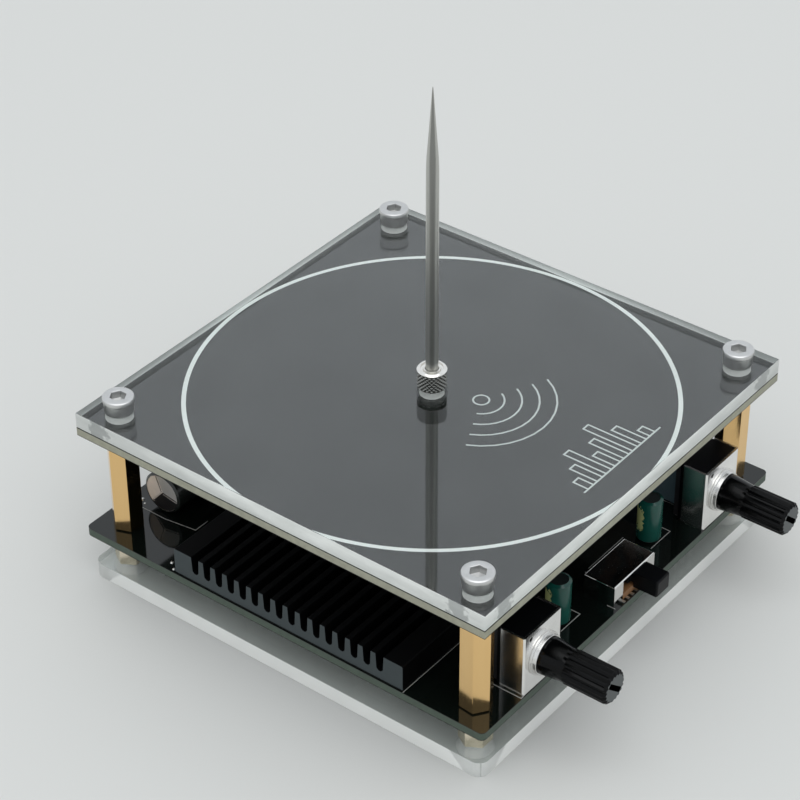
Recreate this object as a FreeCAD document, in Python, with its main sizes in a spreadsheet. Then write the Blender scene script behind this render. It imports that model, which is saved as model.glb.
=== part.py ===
"""Desktop resonant transformer: two stacked circuit boards between clear plates.

Frame: origin at the middle of the base plate's underside, +Z up. The controls face -Y and
the heat sink faces -X. Millimetres. Every size is a cell of the sheet "Sizes".
"""
import FreeCAD, Part
import math
import os
import Sketcher
from types import SimpleNamespace

SIZES = {
    # plates, boards and the gaps that the standoffs keep
    "base_inset": 0.5,
    "base_thick": 3.0,
    "base_corner": 2.0,
    "board_side": 86.0,
    "board_thick": 1.6,
    "board_corner": 1.0,
    "cover_thick": 3.0,
    "lower_gap": 6.0,
    "upper_gap": 20.0,
    # M3 hardware
    "fit_gap": 0.05,
    "screw_inset": 5.25,
    "screw_thread": 3.0,
    "screw_hole": 3.4,
    "cover_hole": 4.8,
    "cap_head": 5.5,
    "cap_head_height": 3.0,
    "cap_head_rim": 0.4,
    "hex_socket": 2.5,
    "hex_socket_depth": 1.5,
    "cap_screw_length": 10.0,
    "sunk_head": 6.0,
    "sunk_recess": 0.15,
    "sunk_socket": 2.0,
    "sunk_socket_depth": 1.1,
    "sunk_screw_length": 6.0,
    "standoff_flats": 5.0,
    "standoff_chamfer": 0.3,
    "standoff_bore_depth": 9.0,
    "stud_length": 4.2,
    # discharge needle, its collar and the terminal under it
    "needle_dia": 2.2,
    "needle_reach": 58.2,
    "needle_taper": 15.6,
    "needle_tip": 0.16,
    "needle_seat": 2.5,
    "collar_dia": 5.4,
    "collar_height": 3.9,
    "collar_chamfer": 0.4,
    "cover_centre_hole": 4.3,
    "terminal_dia": 3.6,
    "terminal_pin": 1.6,
    "solder_reach": 1.2,
    # flat windings on the underside of the upper board
    "copper_thick": 0.1,
    "primary_radius": 30.0,
    "primary_growth": 3.4,
    "primary_turns": 3.0,
    "primary_width": 2.2,
    "secondary_inner": 5.0,
    "secondary_outer": 27.0,
    "secondary_lead": 1.0,
    # the two potentiometers
    "front_inset": 0.1,
    "left_pot_inset": 16.1,
    "right_pot_inset": 16.4,
    "pot_width": 10.2,
    "pot_height": 12.1,
    "pot_axis_height": 6.1,
    "pot_sheet": 0.4,
    "pot_fold": 0.3,
    "pot_flap": 4.7,
    "pot_leg_width": 1.8,
    "pot_leg_reach": 2.6,
    "pot_leg_inset": 1.7,
    "index_dimple": 0.9,
    "index_offset": 3.3,
    "index_rise": 4.9,
    "case_depth": 5.2,
    "case_front_wall": 0.8,
    "rotor_dia": 8.2,
    "rotor_thick": 2.6,
    "rotor_gap": 0.2,
    "wafer_thick": 0.8,
    "wafer_drop": 0.5,
    "pot_pin_pitch": 2.5,
    "pot_pin_width": 0.8,
    "pot_pin_thick": 0.3,
    "pot_pin_rise": 2.6,
    "bushing_base": 7.8,
    "bushing_base_length": 0.5,
    "bushing_nose": 7.2,
    "bushing_nose_length": 0.7,
    "bushing_spigot": 6.4,
    "bushing_spigot_length": 1.15,
    "journal_dia": 5.0,
    "shaft_gap": 0.1,
    "shaft_root": 6.7,
    "shaft_neck": 5.8,
    "shaft_neck_length": 4.4,
    "flute_dia": 6.1,
    "flute_length": 8.3,
    "flute_count": 18,
    "flute_land": 0.25,
    "flute_depth": 0.3,
    "shaft_chamfer": 0.5,
    "slot_width": 0.95,
    "slot_length": 4.2,
    "slot_depth": 8.0,
    "slot_turn": -42.0,
    "wiper_length": 7.0,
    "wiper_width": 1.0,
    "wiper_thick": 0.25,
    "wiper_finger": 1.2,
    # the slide switch
    "switch_x": 1.0,
    "switch_front": 0.8,
    "switch_width": 12.0,
    "switch_depth": 6.2,
    "switch_height": 4.4,
    "switch_sheet": 0.3,
    "switch_tab": 2.6,
    "switch_base_thick": 1.25,
    "switch_foot_thick": 0.15,
    "switch_foot_width": 0.5,
    "switch_foot_reach": 0.6,
    "switch_foot_pitch": 1.27,
    "switch_foot_start": -3.8,
    "switch_pad_width": 2.0,
    "switch_pad_depth": 1.9,
    "switch_pad_thick": 0.2,
    "lever_travel": 2.7,
    "lever_width": 3.8,
    "lever_reach": 4.9,
    "lever_bottom": 1.1,
    "lever_top": 4.3,
    "lever_rounding": 0.35,
    "slider_length": 5.6,
    "slider_lift": 0.5,
    "slider_gap": 0.1,
    "bridge_width": 1.6,
    # the heat sink and the two transistors clamped below it
    "sink_inset": 0.2,
    "sink_y": -2.25,
    "sink_width": 49.1,
    "sink_depth": 25.0,
    "sink_base": 1.65,
    "sink_height": 5.0,
    "sink_end": 3.9,
    "sink_chamfer": 0.2,
    "fin_slot_top": 1.65,
    "fin_slot_bottom": 1.3,
    "fin_slot_bevel": 0.4,
    "fin_slot_count": 16,
    "pad_thick": 0.3,
    "pad_rim": 0.3,
    "transistor_distance": 24.0,
    "tab_length": 15.6,
    "tab_width": 10.2,
    "tab_thick": 1.3,
    "tab_hole": 3.6,
    "tab_hole_inset": 2.8,
    "tab_inset": 8.0,
    "tab_flange": 6.4,
    "transistor_height": 4.5,
    "transistor_chamfer": 0.3,
    "lead_drop": 2.6,
    "lead_thick": 0.5,
    "lead_width": 0.8,
    "lead_pitch": 2.54,
    "lead_run": 4.0,
    "sink_screw_head": 5.6,
    "sink_screw_head_height": 2.0,
    # the two standing electrolytic capacitors at the front edge
    "cap_dia": 4.4,
    "cap_height": 8.6,
    "cap_left_x": -12.9,
    "cap_right_x": 14.5,
    "cap_inset": 6.8,
    "cap_sleeve": 0.12,
    "cap_lip": 0.5,
    "cap_bung": 0.5,
    "cap_pitch": 2.0,
    "wire_width": 0.5,
    # the lying reservoir capacitor
    "tank_dia": 8.0,
    "tank_length": 14.0,
    "tank_inset": 11.4,
    "tank_rear_inset": 7.8,
    "tank_lip": 0.4,
    "tank_vent": 0.5,
    "tank_vent_reach": 3.4,
    "tank_vent_depth": 0.25,
    "tank_vent_turn": 70.0,
    "tank_lead_run": 3.0,
    "tank_lead_bend": 1.2,
    "tank_pitch": 3.5,
    # the film capacitor of the tuned circuit
    "film_inset": 15.1,
    "film_front_inset": 14.0,
    "film_width": 6.0,
    "film_length": 13.0,
    "film_height": 9.0,
    "film_chamfer": 0.5,
    "film_pitch": 10.0,
    # sockets on the rear edge
    "power_x": -2.0,
    "power_width": 9.0,
    "power_length": 14.0,
    "power_height": 11.0,
    "power_face": 3.4,
    "power_bore": 6.3,
    "power_bore_depth": 10.0,
    "power_axis": 6.5,
    "power_pin": 2.1,
    "power_pin_recess": 1.1,
    "power_pin_point": 0.6,
    "power_tail": 2.0,
    "power_spring": 2.4,
    "audio_inset": 23.0,
    "audio_width": 6.4,
    "audio_length": 11.5,
    "audio_height": 5.0,
    "audio_bore": 3.6,
    "audio_collar": 5.0,
    "audio_collar_length": 1.5,
    "audio_leg": 1.0,
    "audio_leg_thick": 0.25,
    "audio_leg_pitch": 4.0,
    "audio_leg_inset": 6.0,
    # the gate driver chip, the choke and the chip resistors
    "chip_x": 5.0,
    "chip_y": -8.0,
    "chip_length": 9.6,
    "chip_width": 6.3,
    "chip_height": 3.3,
    "chip_stand": 0.5,
    "chip_row": 7.6,
    "chip_leg": 0.5,
    "chip_leg_thick": 0.25,
    "chip_notch": 1.6,
    "choke_x": 8.0,
    "choke_y": 14.0,
    "choke_dia": 8.0,
    "choke_height": 8.5,
    "choke_flange": 1.2,
    "choke_waist": 4.0,
    "choke_wire_gap": 0.3,
    "resistor_inset": 23.0,
    "resistor_y": -6.0,
    "resistor_length": 2.0,
    "resistor_width": 1.25,
    "resistor_height": 0.6,
    "resistor_pitch": 4.0,
    "resistor_columns": 3,
    "resistor_rows": 2,
    # slots in the lower board
    "leg_gap": 0.15,
}

STANDOFF_TURNS = {(-1, -1): 6.0, (1, -1): 25.0, (1, 1): 10.0, (-1, 1): 19.0}
WINDING_SIDES = 12


class Size:
    """A number together with the sheet expression that gives it."""

    def __init__(self, text, value):
        self.text = text
        self.value = value

    @staticmethod
    def of(other):
        return other if isinstance(other, Size) else Size(repr(other), other)

    def joined(self, sign, other, value):
        return Size(f"({self.text} {sign} {other.text})", value)

    def __add__(self, other):
        other = Size.of(other)
        return self.joined("+", other, self.value + other.value)

    def __sub__(self, other):
        other = Size.of(other)
        return self.joined("-", other, self.value - other.value)

    def __mul__(self, other):
        other = Size.of(other)
        return self.joined("*", other, self.value * other.value)

    def __truediv__(self, other):
        other = Size.of(other)
        return self.joined("/", other, self.value / other.value)

    def __neg__(self):
        return self * -1

    def __rmul__(self, other):
        return self * other


doc = FreeCAD.newDocument("resonant_transformer")


def make_sheet():
    """Write every size into the sheet and return them as named values."""
    sheet = doc.addObject("Spreadsheet::Sheet", "Sizes")
    for row, (name, value) in enumerate(SIZES.items(), start=1):
        sheet.set(f"A{row}", name)
        sheet.set(f"B{row}", str(value))
        sheet.setAlias(f"B{row}", name)
    doc.recompute()
    return SimpleNamespace(**{name: Size(f"Sizes.{name}", float(sheet.get(name))) for name in SIZES})


d = make_sheet()
nodes = []


# ---------------------------------------------------------------- modelling helpers


def bind(item, name, size):
    item.setExpression(name, Size.of(size).text)


def new_body(label, x=0, y=0, z=0):
    """A body that is one node, its own origin placed at x, y, z."""
    body = doc.addObject("PartDesign::Body", label)
    body.Label = label
    body.AllowCompound = True
    for axis, size in zip("xyz", (x, y, z)):
        bind(body, f"Placement.Base.{axis}", size)
    nodes.append(body)
    return body


def origin_item(body, role):
    return next(item for item in body.Origin.OriginFeatures if item.Role == role)


def new_sketch(body, role, shift=0, turn=0):
    """A sketch on one of the body's own planes, moved along its normal and turned in it."""
    sketch = body.newObject("Sketcher::SketchObject", "Sketch")
    sketch.AttachmentSupport = [(origin_item(body, role), "")]
    sketch.MapMode = "FlatFace"
    sketch.AttachmentOffset = FreeCAD.Placement(FreeCAD.Vector(), FreeCAD.Vector(0, 0, 1), 0)
    bind(sketch, "AttachmentOffset.Base.z", shift)
    bind(sketch, "AttachmentOffset.Rotation.Angle", turn)
    return sketch


def hold(sketch, dimensions):
    """Dimensions of a sketch, driven by the sheet: each a kind, its size and what it holds."""
    wanted = [Sketcher.Constraint(kind, *items, Size.of(size).value) for kind, size, *items in dimensions]
    for index, (kind, size, *_) in zip(sketch.addConstraint(wanted), dimensions):
        name = f"{kind}{index}"
        sketch.renameConstraint(index, name)
        bind(sketch, f"Constraints.{name}", size)


def point(x, y):
    return FreeCAD.Vector(Size.of(x).value, Size.of(y).value, 0)


def polygon(sketch, corners):
    """A closed outline whose corners are all dimensioned from the sketch's origin."""
    first, count = sketch.GeometryCount, len(corners)
    points = [point(*corner) for corner in corners]
    following = points[1:] + points[:1]
    sketch.addGeometry([Part.LineSegment(start, end) for start, end in zip(points, following)], False)
    sketch.addConstraint([
        Sketcher.Constraint("Coincident", first + index, 2, first + (index + 1) % count, 1)
        for index in range(count)
    ])
    across = [("DistanceX", x, first + index, 1) for index, (x, y) in enumerate(corners)]
    upward = [("DistanceY", y, first + index, 1) for index, (x, y) in enumerate(corners)]
    hold(sketch, across + upward)


def rectangle(sketch, x0, y0, x1, y1):
    polygon(sketch, [(x0, y0), (x1, y0), (x1, y1), (x0, y1)])


def centred_rectangle(sketch, width, height, x=0, y=0):
    x, y = Size.of(x), Size.of(y)
    rectangle(sketch, x - width / 2, y - height / 2, x + width / 2, y + height / 2)


def regular(sketch, flats, sides=6):
    """A regular outline by its width across flats, with a corner on the X axis."""
    radius = flats / (2 * math.cos(math.pi / sides))
    angles = [2 * math.pi * index / sides for index in range(sides)]
    polygon(sketch, [(radius * math.cos(angle), radius * math.sin(angle)) for angle in angles])


def circle(sketch, diameter, x=0, y=0):
    up = FreeCAD.Vector(0, 0, 1)
    index = sketch.addGeometry(Part.Circle(point(x, y), up, Size.of(diameter).value / 2), False)
    hold(sketch, [("DistanceX", x, index, 3), ("DistanceY", y, index, 3), ("Diameter", diameter, index)])


def circles_at(sketch, diameter, places):
    for x, y in places:
        circle(sketch, diameter, x, y)


def pad(body, sketch, length, against_normal=False):
    feature = body.newObject("PartDesign::Pad", "Pad")
    feature.Profile = sketch
    bind(feature, "Length", length)
    feature.Reversed = against_normal
    return feature


def pocket(body, sketch, depth=None, along_normal=False):
    """Cut against the sketch's normal, or right through the body when depth is None."""
    feature = body.newObject("PartDesign::Pocket", "Pocket")
    feature.Profile = sketch
    feature.Reversed = along_normal
    if depth is None:
        feature.Type = "ThroughAll"
        feature.SideType = "Symmetric"
    else:
        bind(feature, "Length", depth)
    return feature


def revolve(body, sketch, axis):
    feature = body.newObject("PartDesign::Revolution", "Revolution")
    feature.Profile = sketch
    feature.ReferenceAxis = (sketch, [axis])
    feature.Angle = 360
    return feature


def edges_where(body, test):
    """Names of the edges of the body's tip whose middle point passes the test."""
    doc.recompute()
    edges = body.Tip.Shape.Edges
    return [f"Edge{number}" for number, edge in enumerate(edges, start=1) if test(edge)]


def soften(body, kind, size, test):
    """Fillet or chamfer the edges that the test picks."""
    names = edges_where(body, test)
    feature = body.newObject(f"PartDesign::{kind}", kind)
    feature.Base = (body.Group[-2], names)
    bind(feature, "Radius" if kind == "Fillet" else "Size", size)
    body.Tip = feature
    return feature


def is_upright(edge):
    first, last = edge.Vertexes[0].Point, edge.Vertexes[-1].Point
    return len(edge.Vertexes) == 2 and abs(first.x - last.x) < 1e-6 and abs(first.y - last.y) < 1e-6


def at_height(height):
    """A test for edges that lie wholly at one local height."""
    level = Size.of(height).value
    return lambda edge: abs(edge.BoundBox.ZMin - level) < 1e-6 and abs(edge.BoundBox.ZMax - level) < 1e-6


def repeat(body, role, length, count=2, second=None):
    """Repeat the whole piece along an origin axis, and along a second one when given."""
    doc.recompute()
    feature = body.newObject("PartDesign::LinearPattern", "LinearPattern")
    feature.TransformMode = "Whole shape"
    feature.Direction = (origin_item(body, role), [""])
    bind(feature, "Length", length)
    bind(feature, "Occurrences", count)
    if second:
        second_role, second_length, second_count = second
        feature.Direction2 = (origin_item(body, second_role), [""])
        bind(feature, "Length2", second_length)
        bind(feature, "Occurrences2", second_count)
    body.Tip = feature
    return feature


def repeat_features(body, originals, role, length, count):
    """Repeat single features of a body along an origin axis."""
    feature = body.newObject("PartDesign::LinearPattern", "LinearPattern")
    feature.Originals = originals
    feature.Direction = (origin_item(body, role), [""])
    bind(feature, "Length", length)
    bind(feature, "Occurrences", count)
    body.Tip = feature
    return feature


def ring_of(body, originals, sketch, count):
    """Repeat features about the normal through a sketch's origin."""
    feature = body.newObject("PartDesign::PolarPattern", "PolarPattern")
    feature.Originals = originals
    feature.Axis = (sketch, ["N_Axis"])
    feature.Angle = 360
    bind(feature, "Occurrences", count)
    body.Tip = feature
    return feature


def mirror(body, role):
    doc.recompute()
    feature = body.newObject("PartDesign::Mirrored", "Mirrored")
    feature.TransformMode = "Whole shape"
    feature.MirrorPlane = (origin_item(body, role), [""])
    body.Tip = feature
    return feature


# ---------------------------------------------------------------- levels and places

half = d.board_side / 2
base_side = d.board_side - d.base_inset * 2
screw_pitch = d.board_side - d.screw_inset * 2
corner = screw_pitch / 2
corners = [(corner * sx, corner * sy) for sx, sy in STANDOFF_TURNS]
driver_bottom = d.base_thick + d.lower_gap
driver_top = driver_bottom + d.board_thick
coil_bottom = driver_top + d.upper_gap
coil_top = coil_bottom + d.board_thick
cover_top = coil_top + d.cover_thick
shank = d.screw_thread
tapped = d.screw_thread + d.fit_gap * 2
pin_below = d.board_thick + d.solder_reach
legs_through = []


def four_corners(body):
    """Repeat a piece that stands at the first screw corner at the other three."""
    repeat(body, "X_Axis", screw_pitch, 2, second=("Y_Axis", screw_pitch, 2))


def leg_through(x, y, width, depth):
    """Note a leg of this section that passes through the lower board at x, y."""
    legs_through.append((x, y, width, depth))


# ---------------------------------------------------------------- base plate and its screws


def make_base_plate():
    body = new_body("base_plate")
    outline = new_sketch(body, "XY_Plane")
    centred_rectangle(outline, base_side, base_side)
    pad(body, outline, d.base_thick)
    soften(body, "Fillet", d.base_corner, is_upright)
    centres = new_sketch(body, "XY_Plane")
    circles_at(centres, d.screw_hole, corners)
    doc.recompute()
    hole = body.newObject("PartDesign::Hole", "Hole")
    hole.Profile = centres
    hole.Reversed = True
    hole.DepthType = "ThroughAll"
    bind(hole, "Diameter", d.screw_hole)
    hole.HoleCutType = "Countersink"
    hole.HoleCutCustomValues = True
    bind(hole, "HoleCutDiameter", d.sunk_head + (d.sunk_recess + d.fit_gap) * 2)
    hole.HoleCutCountersinkAngle = 90
    body.Tip = hole


def make_base_screws():
    body = new_body("base_screws", -corner, -corner)
    profile = new_sketch(body, "XZ_Plane")
    head, radius = d.sunk_head / 2, shank / 2
    end = d.sunk_recess + d.sunk_screw_length
    polygon(profile, [
        (0, d.sunk_recess),
        (head, d.sunk_recess),
        (radius, d.sunk_recess + head - radius),
        (radius, end),
        (0, end),
    ])
    revolve(body, profile, "V_Axis")
    socket = new_sketch(body, "XY_Plane")
    regular(socket, d.sunk_socket)
    pocket(body, socket, d.sunk_recess + d.sunk_socket_depth, along_normal=True)
    four_corners(body)


# ---------------------------------------------------------------- standoffs


def hex_bar(body, length):
    """A length of hexagonal bar with both its ends chamfered."""
    section = new_sketch(body, "XY_Plane")
    regular(section, d.standoff_flats)
    pad(body, section, length)
    soften(body, "Chamfer", d.standoff_chamfer, at_height(0))
    soften(body, "Chamfer", d.standoff_chamfer, at_height(length))


def make_lower_standoffs():
    body = new_body("lower_standoffs", -corner, -corner, d.base_thick)
    hex_bar(body, d.lower_gap)
    bore = new_sketch(body, "XY_Plane")
    circle(bore, tapped)
    pocket(body, bore)
    four_corners(body)


def make_upper_standoffs():
    """Four male and female standoffs, each at the turn where its thread tightened."""
    master = doc.addObject("PartDesign::Body", "standoff")
    hex_bar(master, d.upper_gap)
    stud = new_sketch(master, "XY_Plane")
    circle(stud, shank)
    pad(master, stud, d.stud_length, against_normal=True)
    bore = new_sketch(master, "XY_Plane", d.upper_gap)
    circle(bore, tapped)
    pocket(master, bore, d.standoff_bore_depth)
    doc.recompute()
    group = doc.addObject("Part::Compound", "upper_standoffs")
    group.Label = "upper_standoffs"
    links = []
    for (sx, sy), turn in STANDOFF_TURNS.items():
        link = doc.addObject("App::Link", "standoff_copy")
        link.LinkedObject = master
        link.Placement = FreeCAD.Placement(FreeCAD.Vector(), FreeCAD.Vector(0, 0, 1), turn)
        bind(link, "Placement.Base.x", corner * sx)
        bind(link, "Placement.Base.y", corner * sy)
        bind(link, "Placement.Base.z", driver_top)
        links.append(link)
    group.Links = links
    nodes.append(group)


# ---------------------------------------------------------------- upper board, windings, cover


def make_coil_board():
    body = new_body("coil_board", z=coil_bottom)
    outline = new_sketch(body, "XY_Plane")
    centred_rectangle(outline, d.board_side, d.board_side)
    circles_at(outline, d.screw_hole, corners)
    circle(outline, d.terminal_pin + d.fit_gap * 2)
    pad(body, outline, d.board_thick)


def make_primary_track():
    """The few wide turns of the driven winding, a flat spiral of straight runs."""
    body = new_body("primary_track", z=coil_bottom)
    step = 2 * math.pi / WINDING_SIDES
    runs = round(d.primary_turns.value * WINDING_SIDES)
    middles = [d.primary_radius + d.primary_growth * (run / WINDING_SIDES) for run in range(runs + 1)]
    edges = []
    for side in (-1, 1):
        radii = [middle + d.primary_width / 2 * side for middle in middles]
        edges.append([
            (radius * math.cos(step * run), radius * math.sin(step * run))
            for run, radius in enumerate(radii)
        ])
    spiral = new_sketch(body, "XY_Plane")
    polygon(spiral, edges[0] + edges[1][::-1])
    pad(body, spiral, d.copper_thick, against_normal=True)


def make_secondary_winding():
    """The fine inner winding, a thin ring with a strip from its inner end to the terminal."""
    body = new_body("secondary_winding", z=coil_bottom)
    ring = new_sketch(body, "XY_Plane")
    regular(ring, d.secondary_outer * 2, WINDING_SIDES)
    regular(ring, d.secondary_inner * 2, WINDING_SIDES)
    pad(body, ring, d.copper_thick, against_normal=True)
    strip = new_sketch(body, "XY_Plane")
    pin_side = d.terminal_pin / 2 + d.fit_gap
    lead = d.secondary_lead / 2
    rectangle(strip, pin_side, -lead, d.secondary_inner + lead, lead)
    pad(body, strip, d.copper_thick, against_normal=True)


def make_cover_plate():
    body = new_body("cover_plate", z=coil_top)
    outline = new_sketch(body, "XY_Plane")
    centred_rectangle(outline, d.board_side, d.board_side)
    circles_at(outline, d.cover_hole, corners)
    circle(outline, d.cover_centre_hole)
    pad(body, outline, d.cover_thick)


def make_cover_screws():
    body = new_body("cover_screws", -corner, -corner, cover_top)
    profile = new_sketch(body, "XZ_Plane")
    head, radius = d.cap_head / 2, shank / 2
    polygon(profile, [
        (0, -d.cap_screw_length),
        (radius, -d.cap_screw_length),
        (radius, 0),
        (head, 0),
        (head, d.cap_head_height - d.cap_head_rim),
        (head - d.cap_head_rim, d.cap_head_height),
        (0, d.cap_head_height),
    ])
    revolve(body, profile, "V_Axis")
    socket = new_sketch(body, "XY_Plane", d.cap_head_height)
    regular(socket, d.hex_socket)
    pocket(body, socket, d.hex_socket_depth)
    four_corners(body)


# ---------------------------------------------------------------- needle


def make_needle():
    body = new_body("needle", z=cover_top)
    profile = new_sketch(body, "XZ_Plane")
    radius, tip = d.needle_dia / 2, d.needle_tip / 2
    polygon(profile, [
        (0, -d.needle_seat),
        (radius, -d.needle_seat),
        (radius, d.needle_reach - d.needle_taper),
        (tip, d.needle_reach),
        (0, d.needle_reach),
    ])
    revolve(body, profile, "V_Axis")


def make_needle_collar():
    """The clamp ring round the needle's foot, with chamfered rims."""
    body = new_body("needle_collar", z=cover_top)
    profile = new_sketch(body, "XZ_Plane")
    bore = d.needle_dia / 2 + d.fit_gap
    outer, top = d.collar_dia / 2, d.collar_height
    polygon(profile, [
        (bore, 0),
        (outer, 0),
        (outer, top - d.collar_chamfer),
        (outer - d.collar_chamfer, top),
        (bore, top),
    ])
    revolve(body, profile, "V_Axis")


def make_needle_terminal():
    """The brass bush soldered into the upper board, in which the needle's foot stands."""
    body = new_body("needle_terminal", z=coil_top)
    profile = new_sketch(body, "XZ_Plane")
    bore = d.needle_dia / 2 + d.fit_gap
    seat = d.cover_thick - d.needle_seat
    outer, pin = d.terminal_dia / 2, d.terminal_pin / 2
    polygon(profile, [
        (0, -pin_below),
        (pin, -pin_below),
        (pin, 0),
        (outer, 0),
        (outer, d.cover_thick - d.fit_gap),
        (bore, d.cover_thick - d.fit_gap),
        (bore, seat),
        (0, seat),
    ])
    revolve(body, profile, "V_Axis")


# ---------------------------------------------------------------- potentiometers


def pot_body(side, piece, x):
    return new_body(f"{side}_pot_{piece}", x, d.front_inset - half, driver_top + d.pot_axis_height)


def make_pot_frame(side, x):
    """Folded sheet: the front plate, two side flaps and the legs that go through the board."""
    body = pot_body(side, "frame", x)
    outer = d.pot_width / 2
    inner = outer - d.pot_sheet
    plan = new_sketch(body, "XY_Plane", -d.pot_axis_height)
    polygon(plan, [
        (-outer, 0),
        (outer, 0),
        (outer, d.pot_flap),
        (inner, d.pot_flap),
        (inner, d.pot_sheet),
        (-inner, d.pot_sheet),
        (-inner, d.pot_flap),
        (-outer, d.pot_flap),
    ])
    pad(body, plan, d.pot_height)
    soften(body, "Chamfer", d.pot_fold, lambda edge: is_upright(edge) and edge.BoundBox.YMax < 1e-6)
    legs = new_sketch(body, "XY_Plane", -d.pot_axis_height)
    leg_end = d.pot_leg_inset + d.pot_leg_width
    rectangle(legs, -outer, d.pot_leg_inset, -inner, leg_end)
    rectangle(legs, inner, d.pot_leg_inset, outer, leg_end)
    pad(body, legs, d.pot_leg_reach, against_normal=True)
    window = new_sketch(body, "XZ_Plane")
    circle(window, d.bushing_spigot + d.fit_gap * 2)
    circle(window, d.index_dimple, -d.index_offset, d.index_rise)
    pocket(body, window, d.pot_sheet)
    for sign in (-1, 1):
        middle_x = x + (outer - d.pot_sheet / 2) * sign
        middle_y = d.front_inset - half + d.pot_leg_inset + d.pot_leg_width / 2
        leg_through(middle_x, middle_y, d.pot_sheet, d.pot_leg_width)


def make_pot_case(side, x):
    """The moulded case: a cavity for the rotor, open at the rear where the wafer closes it."""
    body = pot_body(side, "case", x)
    width = d.pot_width - (d.pot_sheet + d.fit_gap) * 2
    front = d.pot_sheet + d.fit_gap
    top = d.pot_height - d.pot_axis_height - d.fit_gap
    block = new_sketch(body, "XZ_Plane", -front)
    rectangle(block, -width / 2, -d.pot_axis_height, width / 2, top)
    pad(body, block, d.case_depth, against_normal=True)
    rear = front + d.case_depth
    soften(body, "Chamfer", d.pot_sheet, lambda edge: edge.BoundBox.YMin > rear.value - 1e-6
           and edge.BoundBox.ZMin > top.value - 1e-6)
    cavity = new_sketch(body, "XZ_Plane", -rear)
    circle(cavity, d.rotor_dia + d.rotor_gap * 2)
    pocket(body, cavity, d.case_depth - d.case_front_wall, along_normal=True)
    mouth = new_sketch(body, "XZ_Plane", -front)
    circle(mouth, d.bushing_spigot + d.fit_gap * 2)
    pocket(body, mouth, d.case_front_wall)


def make_pot_wafer(side, x):
    """The laminate wafer with the resistive arc, which closes the case at the rear."""
    body = pot_body(side, "wafer", x)
    width = d.pot_width - (d.pot_sheet + d.fit_gap) * 2
    rear = d.pot_sheet + d.fit_gap + d.case_depth
    bottom = d.wafer_drop - d.pot_axis_height
    plate = new_sketch(body, "XZ_Plane", -rear)
    rectangle(plate, -width / 2, bottom, width / 2, d.pot_height - d.pot_axis_height - d.wafer_drop)
    pad(body, plate, d.wafer_thick, against_normal=True)


def make_pot_terminals(side, x):
    """Three flat pins riveted to the wafer's lower edge and soldered into the board."""
    body = pot_body(side, "terminals", x)
    rear = d.pot_sheet + d.fit_gap + d.case_depth + d.wafer_thick
    first = -(d.pot_pin_pitch + d.pot_pin_width / 2)
    pins = new_sketch(body, "XZ_Plane", -rear)
    rectangle(pins, first, -(d.pot_axis_height + pin_below),
              first + d.pot_pin_width, d.pot_pin_rise - d.pot_axis_height)
    pad(body, pins, d.pot_pin_thick, against_normal=True)
    repeat(body, "X_Axis", d.pot_pin_pitch * 2, 3)
    pin_y = d.front_inset - half + rear + d.pot_pin_thick / 2
    for step in (-1, 0, 1):
        leg_through(x + d.pot_pin_pitch * step, pin_y, d.pot_pin_width, d.pot_pin_thick)


def make_pot_bushing(side, x):
    """The stepped metal bushing riveted through the front plate."""
    body = pot_body(side, "bushing", x)
    profile = new_sketch(body, "XY_Plane")
    bore = d.journal_dia / 2 + d.fit_gap
    base, nose, spigot = d.bushing_base / 2, d.bushing_nose / 2, d.bushing_spigot / 2
    step = -d.bushing_base_length
    front = step - d.bushing_nose_length
    polygon(profile, [
        (bore, front),
        (nose, front),
        (nose, step),
        (base, step),
        (base, 0),
        (spigot, 0),
        (spigot, d.bushing_spigot_length),
        (bore, d.bushing_spigot_length),
    ])
    revolve(body, profile, "V_Axis")


def fluted_section(sketch, radius):
    """A ring of narrow lands with a V groove between each two."""
    step = 2 * math.pi / d.flute_count.value
    land = step * d.flute_land.value / 2
    root = radius - d.flute_depth
    outline = []
    for index in range(round(d.flute_count.value)):
        middle = step * index
        for reach, angle in ((radius, middle - land), (radius, middle + land), (root, middle + step / 2)):
            outline.append((reach * math.cos(angle), reach * math.sin(angle)))
    polygon(sketch, outline)


def make_pot_shaft(side, x):
    """The moulded shaft: rotor disc, journal, tapered neck and a fluted end, slotted inside."""
    body = pot_body(side, "shaft", x)
    rotor_front = d.bushing_spigot_length + d.shaft_gap
    root = -(d.bushing_base_length + d.bushing_nose_length + d.shaft_gap)
    neck = root - d.shaft_neck_length
    end = neck - d.flute_length
    grip, journal = d.flute_dia / 2, d.journal_dia / 2
    profile = new_sketch(body, "XY_Plane")
    polygon(profile, [
        (0, neck),
        (d.shaft_neck / 2, neck),
        (d.shaft_root / 2, root),
        (journal, root),
        (journal, rotor_front),
        (d.rotor_dia / 2, rotor_front),
        (d.rotor_dia / 2, rotor_front + d.rotor_thick),
        (0, rotor_front + d.rotor_thick),
    ])
    revolve(body, profile, "V_Axis")
    fluted = new_sketch(body, "XZ_Plane", -neck)
    fluted_section(fluted, grip)
    pad(body, fluted, d.flute_length - d.shaft_chamfer)
    shoulder = new_sketch(body, "XZ_Plane", -(end + d.shaft_chamfer))
    fluted_section(shoulder, grip)
    tip = new_sketch(body, "XZ_Plane", -end)
    fluted_section(tip, grip - d.shaft_chamfer)
    loft = body.newObject("PartDesign::AdditiveLoft", "AdditiveLoft")
    loft.Profile = shoulder
    loft.Sections = [tip]
    loft.Ruled = True
    slot = new_sketch(body, "XZ_Plane", -end, turn=d.slot_turn)
    centred_rectangle(slot, d.slot_length, d.slot_width)
    pocket(body, slot, d.slot_depth)


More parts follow.
